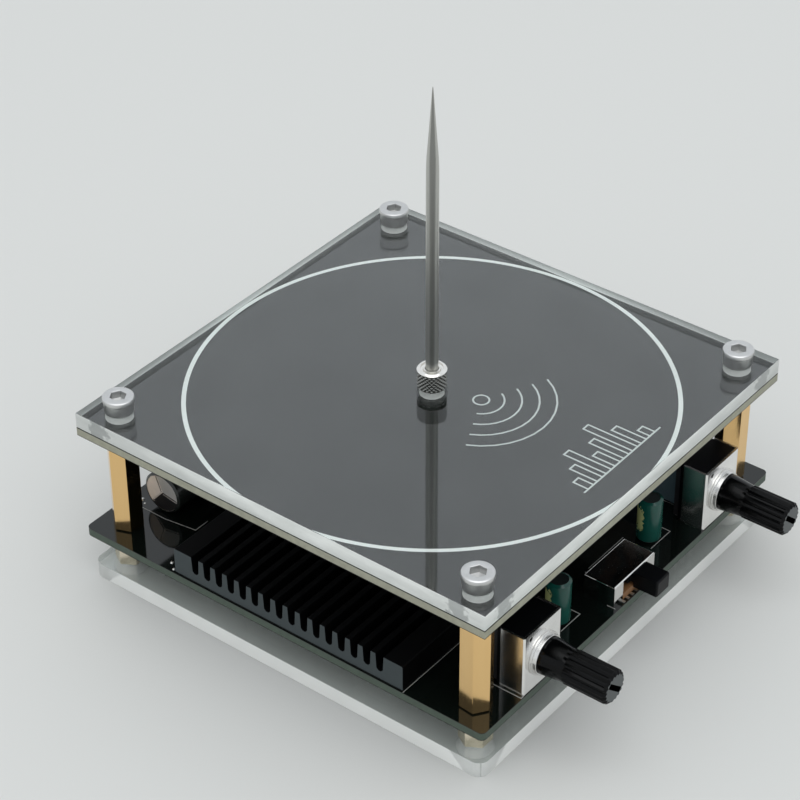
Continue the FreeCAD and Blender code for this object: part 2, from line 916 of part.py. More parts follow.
def make_pot_wiper(side, x):
    """The spring strip on the rotor's rear face, with a sprung finger at each end."""
    body = pot_body(side, "wiper", x)
    seat = d.bushing_spigot_length + d.shaft_gap + d.rotor_thick
    strip = new_sketch(body, "XZ_Plane", -seat)
    centred_rectangle(strip, d.wiper_length, d.wiper_width)
    pad(body, strip, d.wiper_thick, against_normal=True)
    fingers = new_sketch(body, "XZ_Plane", -(seat + d.wiper_thick))
    for sign in (-1, 1):
        finger_x = (d.wiper_length - d.wiper_width) / 2 * sign
        centred_rectangle(fingers, d.wiper_width, d.wiper_width, finger_x)
    pad(body, fingers, d.wiper_finger - d.wiper_thick, against_normal=True)


def make_pot(side, x):
    make_pot_frame(side, x)
    make_pot_case(side, x)
    make_pot_wafer(side, x)
    make_pot_terminals(side, x)
    make_pot_bushing(side, x)
    make_pot_shaft(side, x)
    make_pot_wiper(side, x)


# ---------------------------------------------------------------- slide switch


def switch_body(piece):
    return new_body(f"switch_{piece}", d.switch_x, d.switch_front - half, driver_top)


def make_switch_shell():
    """The folded metal cover, open below and in front between its two tabs."""
    body = switch_body("shell")
    side = d.switch_width / 2
    block = new_sketch(body, "XY_Plane")
    rectangle(block, -side, 0, side, d.switch_depth)
    pad(body, block, d.switch_height)
    soften(body, "Fillet", d.switch_sheet, at_height(d.switch_height))
    hollow = new_sketch(body, "XY_Plane")
    wall = d.switch_sheet
    rectangle(hollow, wall - side, wall, side - wall, d.switch_depth - wall)
    pocket(body, hollow, d.switch_height - wall, along_normal=True)
    window = new_sketch(body, "XZ_Plane")
    opening = side - d.switch_tab
    foot_room = d.switch_foot_thick + d.fit_gap
    foot_side = d.switch_foot_start - d.fit_gap
    polygon(window, [
        (foot_side, 0),
        (opening, 0),
        (opening, d.switch_height - wall),
        (-opening, d.switch_height - wall),
        (-opening, foot_room),
        (foot_side, foot_room),
    ])
    pocket(body, window, wall)


def make_switch_base():
    """The brown laminate plate that closes the shell below and carries the contacts."""
    body = switch_body("base")
    side = d.switch_width / 2 - d.switch_sheet - d.fit_gap
    front = d.switch_sheet + d.fit_gap
    plate = new_sketch(body, "XY_Plane", d.switch_foot_thick)
    rectangle(plate, -side, front, side, d.switch_depth - front)
    pad(body, plate, d.switch_base_thick)
    tongue = new_sketch(body, "XY_Plane", d.switch_foot_thick)
    opening = d.switch_width / 2 - d.switch_tab - d.fit_gap
    rectangle(tongue, -opening, 0, opening, front)
    pad(body, tongue, d.switch_base_thick)


def make_switch_feet():
    """Four flat solder feet that reach out from under the base."""
    body = switch_body("feet")
    foot = new_sketch(body, "XY_Plane")
    start = d.switch_foot_start
    rectangle(foot, start, -d.switch_foot_reach, start + d.switch_foot_width, d.switch_depth / 2)
    pad(body, foot, d.switch_foot_thick)
    repeat(body, "X_Axis", d.switch_foot_pitch * 3, 4)


def make_switch_contacts():
    """Three fixed contact plates on the base, one lever step apart."""
    body = switch_body("contacts")
    plate = new_sketch(body, "XY_Plane", d.switch_foot_thick + d.switch_base_thick)
    width = d.switch_pad_width
    front = (d.switch_depth - d.switch_pad_depth) / 2
    rectangle(plate, -(d.lever_travel + width / 2), front,
              width / 2 - d.lever_travel, front + d.switch_pad_depth)
    pad(body, plate, d.switch_pad_thick)
    repeat(body, "X_Axis", d.lever_travel * 2, 3)


def slider_levels():
    """Local heights of the sliding block inside the shell, and the block's middle."""
    floor = d.switch_foot_thick + d.switch_base_thick + d.switch_pad_thick
    low = floor + d.slider_lift
    high = d.switch_height - d.switch_sheet - d.slider_gap
    return floor, low, high, d.lever_travel / 2


def make_switch_lever():
    """The moulded slider: the block in the shell, the neck in the window and the finger lug."""
    body = switch_body("lever")
    floor, low, high, middle = slider_levels()
    inside = d.switch_sheet + d.slider_gap
    block = new_sketch(body, "XY_Plane", low)
    rectangle(block, middle - d.slider_length / 2, inside,
              middle + d.slider_length / 2, d.switch_depth - inside)
    pad(body, block, high - low)
    neck = new_sketch(body, "XY_Plane", low)
    rectangle(neck, middle - d.lever_width / 2, -d.slider_gap, middle + d.lever_width / 2, inside)
    pad(body, neck, high - low)
    lug = new_sketch(body, "XY_Plane", d.lever_bottom)
    rectangle(lug, middle - d.lever_width / 2, -d.lever_reach, middle + d.lever_width / 2, -d.slider_gap)
    pad(body, lug, d.lever_top - d.lever_bottom)
    soften(body, "Fillet", d.lever_rounding, lambda edge: edge.BoundBox.YMax < 1e-6 - d.lever_reach.value)


def make_switch_bridge():
    """The sprung contact under the slider, which joins two neighbouring plates."""
    body = switch_body("bridge")
    floor, low, high, middle = slider_levels()
    thick = d.switch_pad_thick
    reach = (d.lever_travel + d.switch_pad_width / 2) / 2
    foot = low - (d.slider_lift - d.slider_gap)
    profile = new_sketch(body, "XZ_Plane", -(d.switch_depth + d.bridge_width) / 2)
    polygon(profile, [
        (middle - reach, foot),
        (middle - reach, low),
        (middle + reach, low),
        (middle + reach, foot),
        (middle + reach - thick, foot),
        (middle + reach - thick, low - thick),
        (middle - reach + thick, low - thick),
        (middle - reach + thick, foot),
    ])
    pad(body, profile, d.bridge_width)


# ---------------------------------------------------------------- heat sink and transistors

sink_front = d.sink_inset - half
transistor_y = d.sink_y - d.transistor_distance / 2
tab_x = d.tab_inset - half
clamp_x = tab_x + d.tab_hole_inset


def make_thermal_pad():
    body = new_body("thermal_pad", sink_front, d.sink_y, driver_top)
    sheet = new_sketch(body, "XY_Plane")
    side = d.sink_width / 2 - d.pad_rim
    rectangle(sheet, d.pad_rim, -side, d.sink_depth - d.pad_rim, side)
    hole_x = clamp_x - sink_front
    for sign in (-1, 1):
        circle(sheet, d.screw_hole, hole_x, d.transistor_distance / 2 * sign)
    pad(body, sheet, d.pad_thick)


def make_heat_sink():
    """An extruded sink: solid end blocks and a comb of fins between hollowed slots."""
    body = new_body("heat_sink", sink_front, d.sink_y, driver_top + d.pad_thick)
    side = d.sink_width / 2
    section = new_sketch(body, "YZ_Plane")
    rectangle(section, -side, 0, side, d.sink_height)
    pad(body, section, d.sink_depth)
    soften(body, "Chamfer", d.sink_chamfer, lambda edge: edge.BoundBox.XLength > 1
           and edge.BoundBox.ZMin > d.sink_height.value - 1e-6)
    top, bottom, bevel = d.fin_slot_top / 2, d.fin_slot_bottom / 2, d.fin_slot_bevel
    first = d.sink_end + top - side
    slot = new_sketch(body, "YZ_Plane")
    polygon(slot, [
        (first - top, d.sink_height),
        (first + top, d.sink_height),
        (first + bottom, d.sink_base + bevel),
        (first + bottom - bevel, d.sink_base),
        (first - bottom + bevel, d.sink_base),
        (first - bottom, d.sink_base + bevel),
    ])
    cut = pocket(body, slot, d.sink_depth, along_normal=True)
    span = d.sink_width - d.sink_end * 2 - d.fin_slot_top
    repeat_features(body, [cut], "Y_Axis", span, d.fin_slot_count)
    taps = new_sketch(body, "XY_Plane")
    for sign in (-1, 1):
        circle(taps, tapped, clamp_x - sink_front, d.transistor_distance / 2 * sign)
    pocket(body, taps, d.sink_base + bevel, along_normal=True)


def make_transistor_tabs():
    """The two metal tabs, screwed flat against the underside of the driver board."""
    body = new_body("transistor_tabs", tab_x, transistor_y, driver_bottom)
    outline = new_sketch(body, "XY_Plane")
    rectangle(outline, 0, -d.tab_width / 2, d.tab_length, d.tab_width / 2)
    circle(outline, d.tab_hole, d.tab_hole_inset)
    pad(body, outline, d.tab_thick, against_normal=True)
    soften(body, "Chamfer", d.tab_thick, lambda edge: is_upright(edge) and edge.BoundBox.XMax < 1e-6)
    repeat(body, "Y_Axis", d.transistor_distance)


def make_transistor_bodies():
    body = new_body("transistor_bodies", tab_x + d.tab_flange, transistor_y, driver_bottom - d.tab_thick)
    block = new_sketch(body, "XY_Plane")
    rectangle(block, 0, -d.tab_width / 2, d.tab_length - d.tab_flange, d.tab_width / 2)
    pad(body, block, d.transistor_height - d.tab_thick, against_normal=True)
    soften(body, "Chamfer", d.transistor_chamfer, at_height(d.tab_thick - d.transistor_height))
    repeat(body, "Y_Axis", d.transistor_distance)


def make_transistor_leads():
    """Three leads on each transistor, bent up through the driver board."""
    body = new_body("transistor_leads", tab_x + d.tab_length, transistor_y - d.lead_pitch, driver_bottom)
    profile = new_sketch(body, "XZ_Plane", -d.lead_width / 2)
    low, top = -(d.lead_drop + d.lead_thick), pin_below
    polygon(profile, [
        (0, low),
        (d.lead_run, low),
        (d.lead_run, top),
        (d.lead_run - d.lead_thick, top),
        (d.lead_run - d.lead_thick, -d.lead_drop),
        (0, -d.lead_drop),
    ])
    pad(body, profile, d.lead_width)
    repeat(body, "Y_Axis", d.lead_pitch * 2, 3)
    repeat(body, "Y_Axis", d.transistor_distance)
    lead_x = tab_x + d.tab_length + d.lead_run - d.lead_thick / 2
    for sign in (-1, 1):
        for step in (-1, 0, 1):
            middle = d.sink_y + d.transistor_distance / 2 * sign
            leg_through(lead_x, middle + d.lead_pitch * step, d.lead_thick, d.lead_width)


def make_sink_screws():
    """The two screws that clamp tab, board and pad up to the heat sink."""
    body = new_body("sink_screws", clamp_x, transistor_y, driver_bottom - d.tab_thick)
    profile = new_sketch(body, "XZ_Plane")
    head, radius = d.sink_screw_head / 2, shank / 2
    end = d.tab_thick + d.board_thick + d.pad_thick + d.sink_base
    polygon(profile, [
        (0, -d.sink_screw_head_height),
        (head, -d.sink_screw_head_height),
        (head, 0),
        (radius, 0),
        (radius, end),
        (0, end),
    ])
    revolve(body, profile, "V_Axis")
    socket = new_sketch(body, "XY_Plane", -d.sink_screw_head_height)
    regular(socket, d.sunk_socket)
    pocket(body, socket, d.sunk_socket_depth, along_normal=True)
    repeat(body, "Y_Axis", d.transistor_distance)


# ---------------------------------------------------------------- capacitors

cap_y = d.cap_inset - half
tank_x = d.tank_inset - half
tank_y = half - d.tank_rear_inset
film_x = half - d.film_inset
film_y = d.film_front_inset - half


def rolled_can(radius, low, high, lip):
    """Half sections, as radius and height, of a can and of the sleeve shrunk over it."""
    bare = radius - d.cap_sleeve
    inner = bare + d.fit_gap / 2
    shoulder = high - lip / 2
    rim = radius - lip
    can = [(0, low), (bare, low), (bare, shoulder), (rim - d.fit_gap, high), (0, high)]
    sleeve = [
        (inner, low),
        (radius, low),
        (radius, shoulder),
        (rim, high + d.cap_sleeve),
        (rim, high),
        (inner, shoulder),
    ]
    return can, sleeve


def cap_body(piece):
    return new_body(f"front_capacitor_{piece}", d.cap_left_x, cap_y, driver_top)


def make_front_capacitors():
    """Two standing electrolytics: rolled can, printed sleeve, rubber bung and leads."""
    spread = d.cap_right_x - d.cap_left_x
    sections = rolled_can(d.cap_dia / 2, d.cap_bung, d.cap_height, d.cap_lip)
    for piece, section in zip(("cans", "sleeves"), sections):
        body = cap_body(piece)
        profile = new_sketch(body, "XZ_Plane")
        polygon(profile, section)
        revolve(body, profile, "V_Axis")
        repeat(body, "X_Axis", spread)
    bungs = cap_body("bungs")
    disc = new_sketch(bungs, "XY_Plane")
    circle(disc, d.cap_dia - d.cap_lip * 2)
    pad(bungs, disc, d.cap_bung)
    repeat(bungs, "X_Axis", spread)
    leads = cap_body("leads")
    wires = new_sketch(leads, "XY_Plane")
    for sign in (-1, 1):
        centred_rectangle(wires, d.wire_width, d.wire_width, d.cap_pitch / 2 * sign)
    pad(leads, wires, pin_below, against_normal=True)
    repeat(leads, "X_Axis", spread)
    for centre in (d.cap_left_x, d.cap_right_x):
        for sign in (-1, 1):
            leg_through(centre + d.cap_pitch / 2 * sign, cap_y, d.wire_width, d.wire_width)


def tank_body(piece):
    return new_body(f"reservoir_{piece}", tank_x, tank_y, driver_top + d.tank_dia / 2 + d.fit_gap)


def make_reservoir():
    """The lying electrolytic: vented can end, sleeve, rubber bung and two bent leads."""
    can, sleeve = rolled_can(d.tank_dia / 2, 0, d.tank_length, d.tank_lip)
    can_body = tank_body("can")
    profile = new_sketch(can_body, "XZ_Plane")
    polygon(profile, [(d.tank_length - height, radius) for radius, height in can])
    revolve(can_body, profile, "H_Axis")
    vent = new_sketch(can_body, "YZ_Plane", turn=d.tank_vent_turn)
    rectangle(vent, -d.tank_vent / 2, -d.tank_vent / 2, d.tank_vent_reach, d.tank_vent / 2)
    cut = pocket(can_body, vent, d.tank_vent_depth, along_normal=True)
    ring_of(can_body, [cut], vent, 3)
    sleeve_body = tank_body("sleeve")
    profile = new_sketch(sleeve_body, "XZ_Plane")
    polygon(profile, [(d.tank_length - height, radius) for radius, height in sleeve])
    revolve(sleeve_body, profile, "H_Axis")
    bung_body = tank_body("bung")
    disc = new_sketch(bung_body, "YZ_Plane", d.tank_length)
    circle(disc, d.tank_dia - d.tank_lip * 2)
    pad(bung_body, disc, d.cap_bung)


def make_reservoir_leads():
    """Two wires that leave the bung, bend down and pass through the board."""
    body = tank_body("leads")
    side, bend = d.wire_width / 2, d.tank_lead_bend
    start = d.tank_length + d.cap_bung
    end_x = start + d.tank_lead_run
    end_z = -(d.tank_dia / 2 + d.fit_gap + pin_below)
    wire = new_sketch(body, "XZ_Plane", d.tank_pitch / 2 - side)
    polygon(wire, [
        (start, -side),
        (start, side),
        (end_x - bend, side),
        (end_x + side, -bend),
        (end_x + side, end_z),
        (end_x - side, end_z),
        (end_x - side, -bend),
        (end_x - bend, -side),
    ])
    pad(body, wire, d.wire_width)
    repeat(body, "Y_Axis", d.tank_pitch)
    for sign in (-1, 1):
        leg_through(tank_x + end_x, tank_y + d.tank_pitch / 2 * sign, d.wire_width, d.wire_width)


def make_film_capacitor():
    body = new_body("film_capacitor", film_x, film_y, driver_top)
    block = new_sketch(body, "XY_Plane")
    centred_rectangle(block, d.film_width, d.film_length)
    pad(body, block, d.film_height)
    soften(body, "Chamfer", d.film_chamfer, is_upright)
    soften(body, "Chamfer", d.film_chamfer, at_height(d.film_height))
    leads = new_body("film_capacitor_leads", film_x, film_y - d.film_pitch / 2, driver_top)
    wire = new_sketch(leads, "XY_Plane")
    centred_rectangle(wire, d.wire_width, d.wire_width)
    pad(leads, wire, pin_below, against_normal=True)
    repeat(leads, "Y_Axis", d.film_pitch)
    for sign in (-1, 1):
        leg_through(film_x, film_y + d.film_pitch / 2 * sign, d.wire_width, d.wire_width)


# ---------------------------------------------------------------- sockets on the rear edge


def make_power_jack():
    """The barrel socket: a block face, a rounded barrel, a centre pin and a side spring."""
    place = (d.power_x, half, driver_top)
    axis, side = d.power_axis, d.power_width / 2
    housing = new_body("power_jack_housing", *place)
    face = new_sketch(housing, "XZ_Plane")
    rectangle(face, -side, 0, side, d.power_height)
    pad(housing, face, d.power_face)
    rear = new_sketch(housing, "XZ_Plane", d.power_face)
    rectangle(rear, -side, 0, side, axis)
    pad(housing, rear, d.power_length - d.power_face)
    barrel = new_sketch(housing, "XZ_Plane", d.power_face)
    circle(barrel, d.power_width - d.fit_gap * 2, 0, axis)
    pad(housing, barrel, d.power_length - d.power_face)
    bore = new_sketch(housing, "XZ_Plane")
    circle(bore, d.power_bore, 0, axis)
    pocket(housing, bore, d.power_bore_depth, along_normal=True)
    pin_bore = new_sketch(housing, "XZ_Plane")
    circle(pin_bore, d.power_pin + d.fit_gap * 2, 0, axis)
    pocket(housing, pin_bore, d.power_length, along_normal=True)
    spring_slot = new_sketch(housing, "XZ_Plane", d.power_face)
    slot_side = d.power_spring / 2 + d.fit_gap
    rectangle(spring_slot, -slot_side, 0, slot_side, axis)
    pocket(housing, spring_slot, d.power_bore_depth - d.power_face, along_normal=True)
    make_power_jack_pin(place)
    make_power_jack_spring(place)


def make_power_jack_pin(place):
    body = new_body("power_jack_pin", *place)
    tail = d.lead_thick
    profile = new_sketch(body, "XY_Plane", d.power_axis)
    radius, front = d.power_pin / 2, -d.power_pin_recess
    polygon(profile, [
        (0, front),
        (radius - d.power_pin_point, front),
        (radius, front - d.power_pin_point),
        (radius, -d.power_length),
        (0, -d.power_length),
    ])
    revolve(body, profile, "V_Axis")
    tab = new_sketch(body, "XZ_Plane", d.power_length)
    rectangle(tab, -d.power_tail / 2, -pin_below, d.power_tail / 2, d.power_axis + radius)
    pad(body, tab, tail)
    leg_through(d.power_x, half - d.power_length - tail / 2, d.power_tail, tail)


def make_power_jack_spring(place):
    """The sleeve contact: a strip under the bore that folds down into the board."""
    body = new_body("power_jack_spring", *place)
    width, thick = d.power_spring, d.wiper_thick
    low = d.power_axis - d.power_bore / 2
    end = -(d.power_bore_depth - d.fit_gap * 2)
    leg = -(d.power_face + d.fit_gap * 2)
    profile = new_sketch(body, "YZ_Plane", -width / 2)
    polygon(profile, [
        (leg, -pin_below),
        (leg, low),
        (end, low),
        (end, low - thick),
        (leg - thick, low - thick),
        (leg - thick, -pin_below),
    ])
    pad(body, profile, width)
    leg_through(d.power_x, half + leg - thick / 2, width, thick)


def make_audio_jack():
    centre_x = half - d.audio_inset
    place = (centre_x, half - d.audio_collar_length, driver_top)
    body = new_body("audio_jack_body", *place)
    side, axis = d.audio_width / 2, d.audio_height / 2
    block = new_sketch(body, "XZ_Plane")
    rectangle(block, -side, 0, side, d.audio_height)
    pad(body, block, d.audio_length)
    soften(body, "Chamfer", d.cap_lip, lambda edge: edge.BoundBox.YLength > 1
           and edge.BoundBox.ZMin > d.audio_height.value - 1e-6)
    collar = new_sketch(body, "XZ_Plane")
    circle(collar, d.audio_collar - d.fit_gap * 2, 0, axis)
    pad(body, collar, d.audio_collar_length, against_normal=True)
    bore = new_sketch(body, "XZ_Plane", -d.audio_collar_length)
    circle(bore, d.audio_bore, 0, axis)
    pocket(body, bore, d.audio_length, along_normal=True)
    legs = new_body("audio_jack_contacts", *place)
    leg = new_sketch(legs, "YZ_Plane", side)
    last = -d.audio_leg_inset
    rectangle(leg, last - d.audio_leg, -pin_below, last, axis + d.audio_leg / 2)
    pad(legs, leg, d.audio_leg_thick)
    mirror(legs, "YZ_Plane")
    repeat(legs, "Y_Axis", d.audio_leg_pitch)
    for sign in (-1, 1):
        for step in (0, 1):
            leg_x = centre_x + (side + d.audio_leg_thick / 2) * sign
            leg_y = half - d.audio_collar_length + last - d.audio_leg / 2 + d.audio_leg_pitch * step
            leg_through(leg_x, leg_y, d.audio_leg_thick, d.audio_leg)


# ---------------------------------------------------------------- driver circuit


def make_driver_chip():
    """The dual in-line gate driver: moulded body with its notch, and two rows of legs."""
    body = new_body("driver_chip", d.chip_x, d.chip_y, driver_top + d.chip_stand)
    block = new_sketch(body, "XY_Plane")
    centred_rectangle(block, d.chip_length, d.chip_width)
    pad(body, block, d.chip_height)
    soften(body, "Chamfer", d.chip_leg, at_height(d.chip_height))
    notch = new_sketch(body, "XY_Plane", d.chip_height)
    circle(notch, d.chip_notch, -(d.chip_length / 2 - d.chip_leg))
    pocket(body, notch, d.chip_leg)
    legs = new_body("driver_chip_legs", d.chip_x, d.chip_y, driver_top)
    profile = new_sketch(legs, "YZ_Plane", -(d.lead_pitch * 1.5 + d.chip_leg / 2))
    middle = d.chip_stand + d.chip_height / 2
    row, thick, wall = d.chip_row / 2, d.chip_leg_thick, d.chip_width / 2
    polygon(profile, [
        (wall, middle - thick),
        (wall, middle),
        (row + thick / 2, middle),
        (row + thick / 2, -pin_below),
        (row - thick / 2, -pin_below),
        (row - thick / 2, middle - thick),
    ])
    pad(legs, profile, d.chip_leg)
    repeat(legs, "X_Axis", d.lead_pitch * 3, 4)
    mirror(legs, "XZ_Plane")
    for sign in (-1, 1):
        for step in (-1.5, -0.5, 0.5, 1.5):
            leg_through(d.chip_x + d.lead_pitch * step, d.chip_y + row * sign, d.chip_leg, thick)


def make_choke():
    """A drum core with its copper winding between the flanges."""
    core = new_body("choke_core", d.choke_x, d.choke_y, driver_top)
    outer, waist = d.choke_dia / 2, d.choke_waist / 2
    profile = new_sketch(core, "XZ_Plane")
    high = d.choke_height - d.choke_flange
    polygon(profile, [
        (0, 0),
        (outer, 0),
        (outer, d.choke_flange),
        (waist, d.choke_flange),
        (waist, high),
        (outer, high),
        (outer, d.choke_height),
        (0, d.choke_height),
    ])
    revolve(core, profile, "V_Axis")
    winding = new_body("choke_winding", d.choke_x, d.choke_y, driver_top + d.choke_flange)
    coil = new_sketch(winding, "XY_Plane", d.fit_gap)
    circle(coil, d.choke_dia - d.choke_wire_gap * 2)
    circle(coil, d.choke_waist + d.fit_gap * 2)
    pad(winding, coil, d.choke_height - (d.choke_flange + d.fit_gap) * 2)


def make_chip_resistors():
    body = new_body("chip_resistors", half - d.resistor_inset, d.resistor_y, driver_top)
    block = new_sketch(body, "XY_Plane")
    centred_rectangle(block, d.resistor_length, d.resistor_width)
    pad(body, block, d.resistor_height)
    repeat(body, "X_Axis", d.resistor_pitch * (d.resistor_columns - 1), d.resistor_columns,
           second=("Y_Axis", d.resistor_pitch * (d.resistor_rows - 1), d.resistor_rows))


# ---------------------------------------------------------------- driver board


def make_driver_board():
    """The lower board, drilled for screws and slotted for every leg that passes through it."""
    body = new_body("driver_board", z=driver_bottom)
    outline = new_sketch(body, "XY_Plane")
    centred_rectangle(outline, d.board_side, d.board_side)
    pad(body, outline, d.board_thick)
    soften(body, "Fillet", d.board_corner, is_upright)
    drilling = new_sketch(body, "XY_Plane")
    circles_at(drilling, d.screw_hole, corners)
    for sign in (-1, 1):
        circle(drilling, d.screw_hole, clamp_x, d.sink_y + d.transistor_distance / 2 * sign)
    for x, y, width, depth in legs_through:
        centred_rectangle(drilling, width + d.leg_gap * 2, depth + d.leg_gap * 2, x, y)
    pocket(body, drilling)


# ---------------------------------------------------------------- the whole object


def build():
    make_base_plate()
    make_base_screws()
    make_lower_standoffs()
    make_upper_standoffs()
    make_coil_board()
    make_primary_track()
    make_secondary_winding()
    make_cover_plate()
    make_cover_screws()
    make_needle()
    make_needle_collar()
    make_needle_terminal()
    make_pot("left", d.left_pot_inset - half)
    make_pot("right", half - d.right_pot_inset)
    make_switch_shell()
    make_switch_base()
    make_switch_feet()
    make_switch_contacts()
    make_switch_lever()
    make_switch_bridge()
    make_thermal_pad()
    make_heat_sink()
    make_transistor_tabs()
    make_transistor_bodies()
    make_transistor_leads()
    make_sink_screws()
    make_front_capacitors()
    make_reservoir()
    make_reservoir_leads()
    make_film_capacitor()
    make_power_jack()
    make_audio_jack()
    make_driver_chip()
    make_choke()
    make_chip_resistors()
    make_driver_board()
    doc.recompute()


def check():
    """Stop when any object failed to compute or any node's solid is not sound."""
    for item in doc.Objects:
        if {"Invalid", "Error"} & set(item.State):
            raise RuntimeError(f"{item.Label} of {item.getParentGeoFeatureGroup()} is {item.State}")
    for node in nodes:
        if node.Shape.isNull() or not node.Shape.isValid() or not node.Shape.Solids:
            raise RuntimeError(f"{node.Label} has no sound solid")


def export():
    os.makedirs("parts", exist_ok=True)
    for node in nodes:
        node.Shape.exportStep(os.path.join("parts", f"{node.Label}.step"))


build()
check()
export()
print(f"{len(nodes)} nodes, {sum(len(node.Shape.Solids) for node in nodes)} solids")
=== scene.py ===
"""Dressed model of a desktop resonant transformer: two circuit boards between clear plates.

Places in Blender are metres. Outlines, profiles and heights that are drawn here are
millimetres, until loose_piece or cut_sheet makes a mesh of them.
"""
import math

import bmesh
import bpy
from mathutils import Matrix, Vector


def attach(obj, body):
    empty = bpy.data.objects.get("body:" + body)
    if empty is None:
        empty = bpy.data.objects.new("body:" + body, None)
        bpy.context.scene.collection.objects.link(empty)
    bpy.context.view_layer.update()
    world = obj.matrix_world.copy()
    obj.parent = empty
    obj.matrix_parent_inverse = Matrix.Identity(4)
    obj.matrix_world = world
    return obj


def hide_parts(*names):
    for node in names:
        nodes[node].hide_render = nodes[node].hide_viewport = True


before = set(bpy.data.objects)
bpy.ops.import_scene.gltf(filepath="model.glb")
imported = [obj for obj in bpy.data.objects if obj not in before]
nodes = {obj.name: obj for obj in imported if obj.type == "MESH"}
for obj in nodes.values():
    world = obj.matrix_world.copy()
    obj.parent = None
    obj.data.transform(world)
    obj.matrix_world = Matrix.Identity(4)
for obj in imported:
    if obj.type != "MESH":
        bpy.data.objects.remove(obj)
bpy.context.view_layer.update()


# ---------------------------------------------------------------- camera, floor and light
# The object stands on a plain pale table under a large soft box and an even pale room.
# The camera looks down at one corner of it with a long lens.

camera_data = bpy.data.cameras.new("camera")
camera_data.lens = 116.092
camera_data.sensor_width = 36
camera_data.clip_start = 0.01
camera = bpy.data.objects.new("camera", camera_data)
camera.rotation_mode = "QUATERNION"
camera.location = (-0.2854346, -0.2169231, 0.2931796)
camera.rotation_quaternion = (0.8002492, 0.4084386, -0.1972392, -0.3922700)
bpy.context.scene.collection.objects.link(camera)
bpy.context.scene.camera = camera
bpy.context.scene.view_settings.view_transform = "Standard"

TABLE_HALF = 6.0
TABLE_DROP = -0.00005
table_mesh = bpy.data.meshes.new("table")
table_mesh.from_pydata(
    [(x, y, TABLE_DROP) for x, y in ((-TABLE_HALF, -TABLE_HALF), (TABLE_HALF, -TABLE_HALF),
                                     (TABLE_HALF, TABLE_HALF), (-TABLE_HALF, TABLE_HALF))],
    [], [(0, 1, 2, 3)])
table = bpy.data.objects.new("table", table_mesh)
bpy.context.scene.collection.objects.link(table)

soft_box_data = bpy.data.lights.new("soft_box", "AREA")
soft_box_data.shape = "SQUARE"
soft_box_data.size = 1.5
soft_box_data.energy = 8.6
soft_box = bpy.data.objects.new("soft_box", soft_box_data)
soft_box.location = (-0.32, -0.30, 1.45)
soft_box.rotation_euler = (-Vector(soft_box.location)).to_track_quat("-Z", "Y").to_euler()
bpy.context.scene.collection.objects.link(soft_box)

ROOM_LIGHT = 0.74
ROOM_SEEN = 0.90
TINT_OF_LIGHT = (0.985, 0.995, 1.0)
TINT_SEEN = (0.91, 0.955, 1.0)
room = bpy.data.worlds.new("room")
bpy.context.scene.world = room
room.use_nodes = True
room_nodes, room_links = room.node_tree.nodes, room.node_tree.links
room_nodes.clear()


def maths(tree, operation, *values):
    """A math node fed by numbers or by the outputs of other nodes."""
    node = tree.nodes.new("ShaderNodeMath")
    node.operation = operation
    for socket, value in zip(node.inputs, values):
        if isinstance(value, (int, float)):
            socket.default_value = value
        else:
            tree.links.new(value, socket)
    return node.outputs[0]


def mixed(tree, factor, first, second):
    """A colour mix fed by colours or by the outputs of other nodes."""
    node = tree.nodes.new("ShaderNodeMix")
    node.data_type = "RGBA"
    for label, value in (("Factor", factor), ("A", first), ("B", second)):
        if isinstance(value, tuple):
            node.inputs[label].default_value = (*value, 1.0)
        else:
            tree.links.new(value, node.inputs[label])
    return node.outputs["Result"]


rays = room_nodes.new("ShaderNodeLightPath").outputs
mirrored = maths(room.node_tree, "MAXIMUM", rays["Is Glossy Ray"], rays["Is Transmission Ray"])
seen = maths(room.node_tree, "MAXIMUM", mirrored, rays["Is Camera Ray"])
level = maths(room.node_tree, "MULTIPLY_ADD", seen, ROOM_SEEN - ROOM_LIGHT, ROOM_LIGHT)
sky = room_nodes.new("ShaderNodeBackground")
room_links.new(mixed(room.node_tree, seen, TINT_OF_LIGHT, TINT_SEEN), sky.inputs["Color"])
room_links.new(level, sky.inputs["Strength"])
room_out = room_nodes.new("ShaderNodeOutputWorld")
room_links.new(sky.outputs[0], room_out.inputs["Surface"])


def add_socket(tree, label, kind, value, side="INPUT"):
    """A named socket on the outside of a node group."""
    socket = tree.interface.new_socket(label, in_out=side, socket_type=f"NodeSocket{kind}")
    if value is not None:
        socket.default_value = value


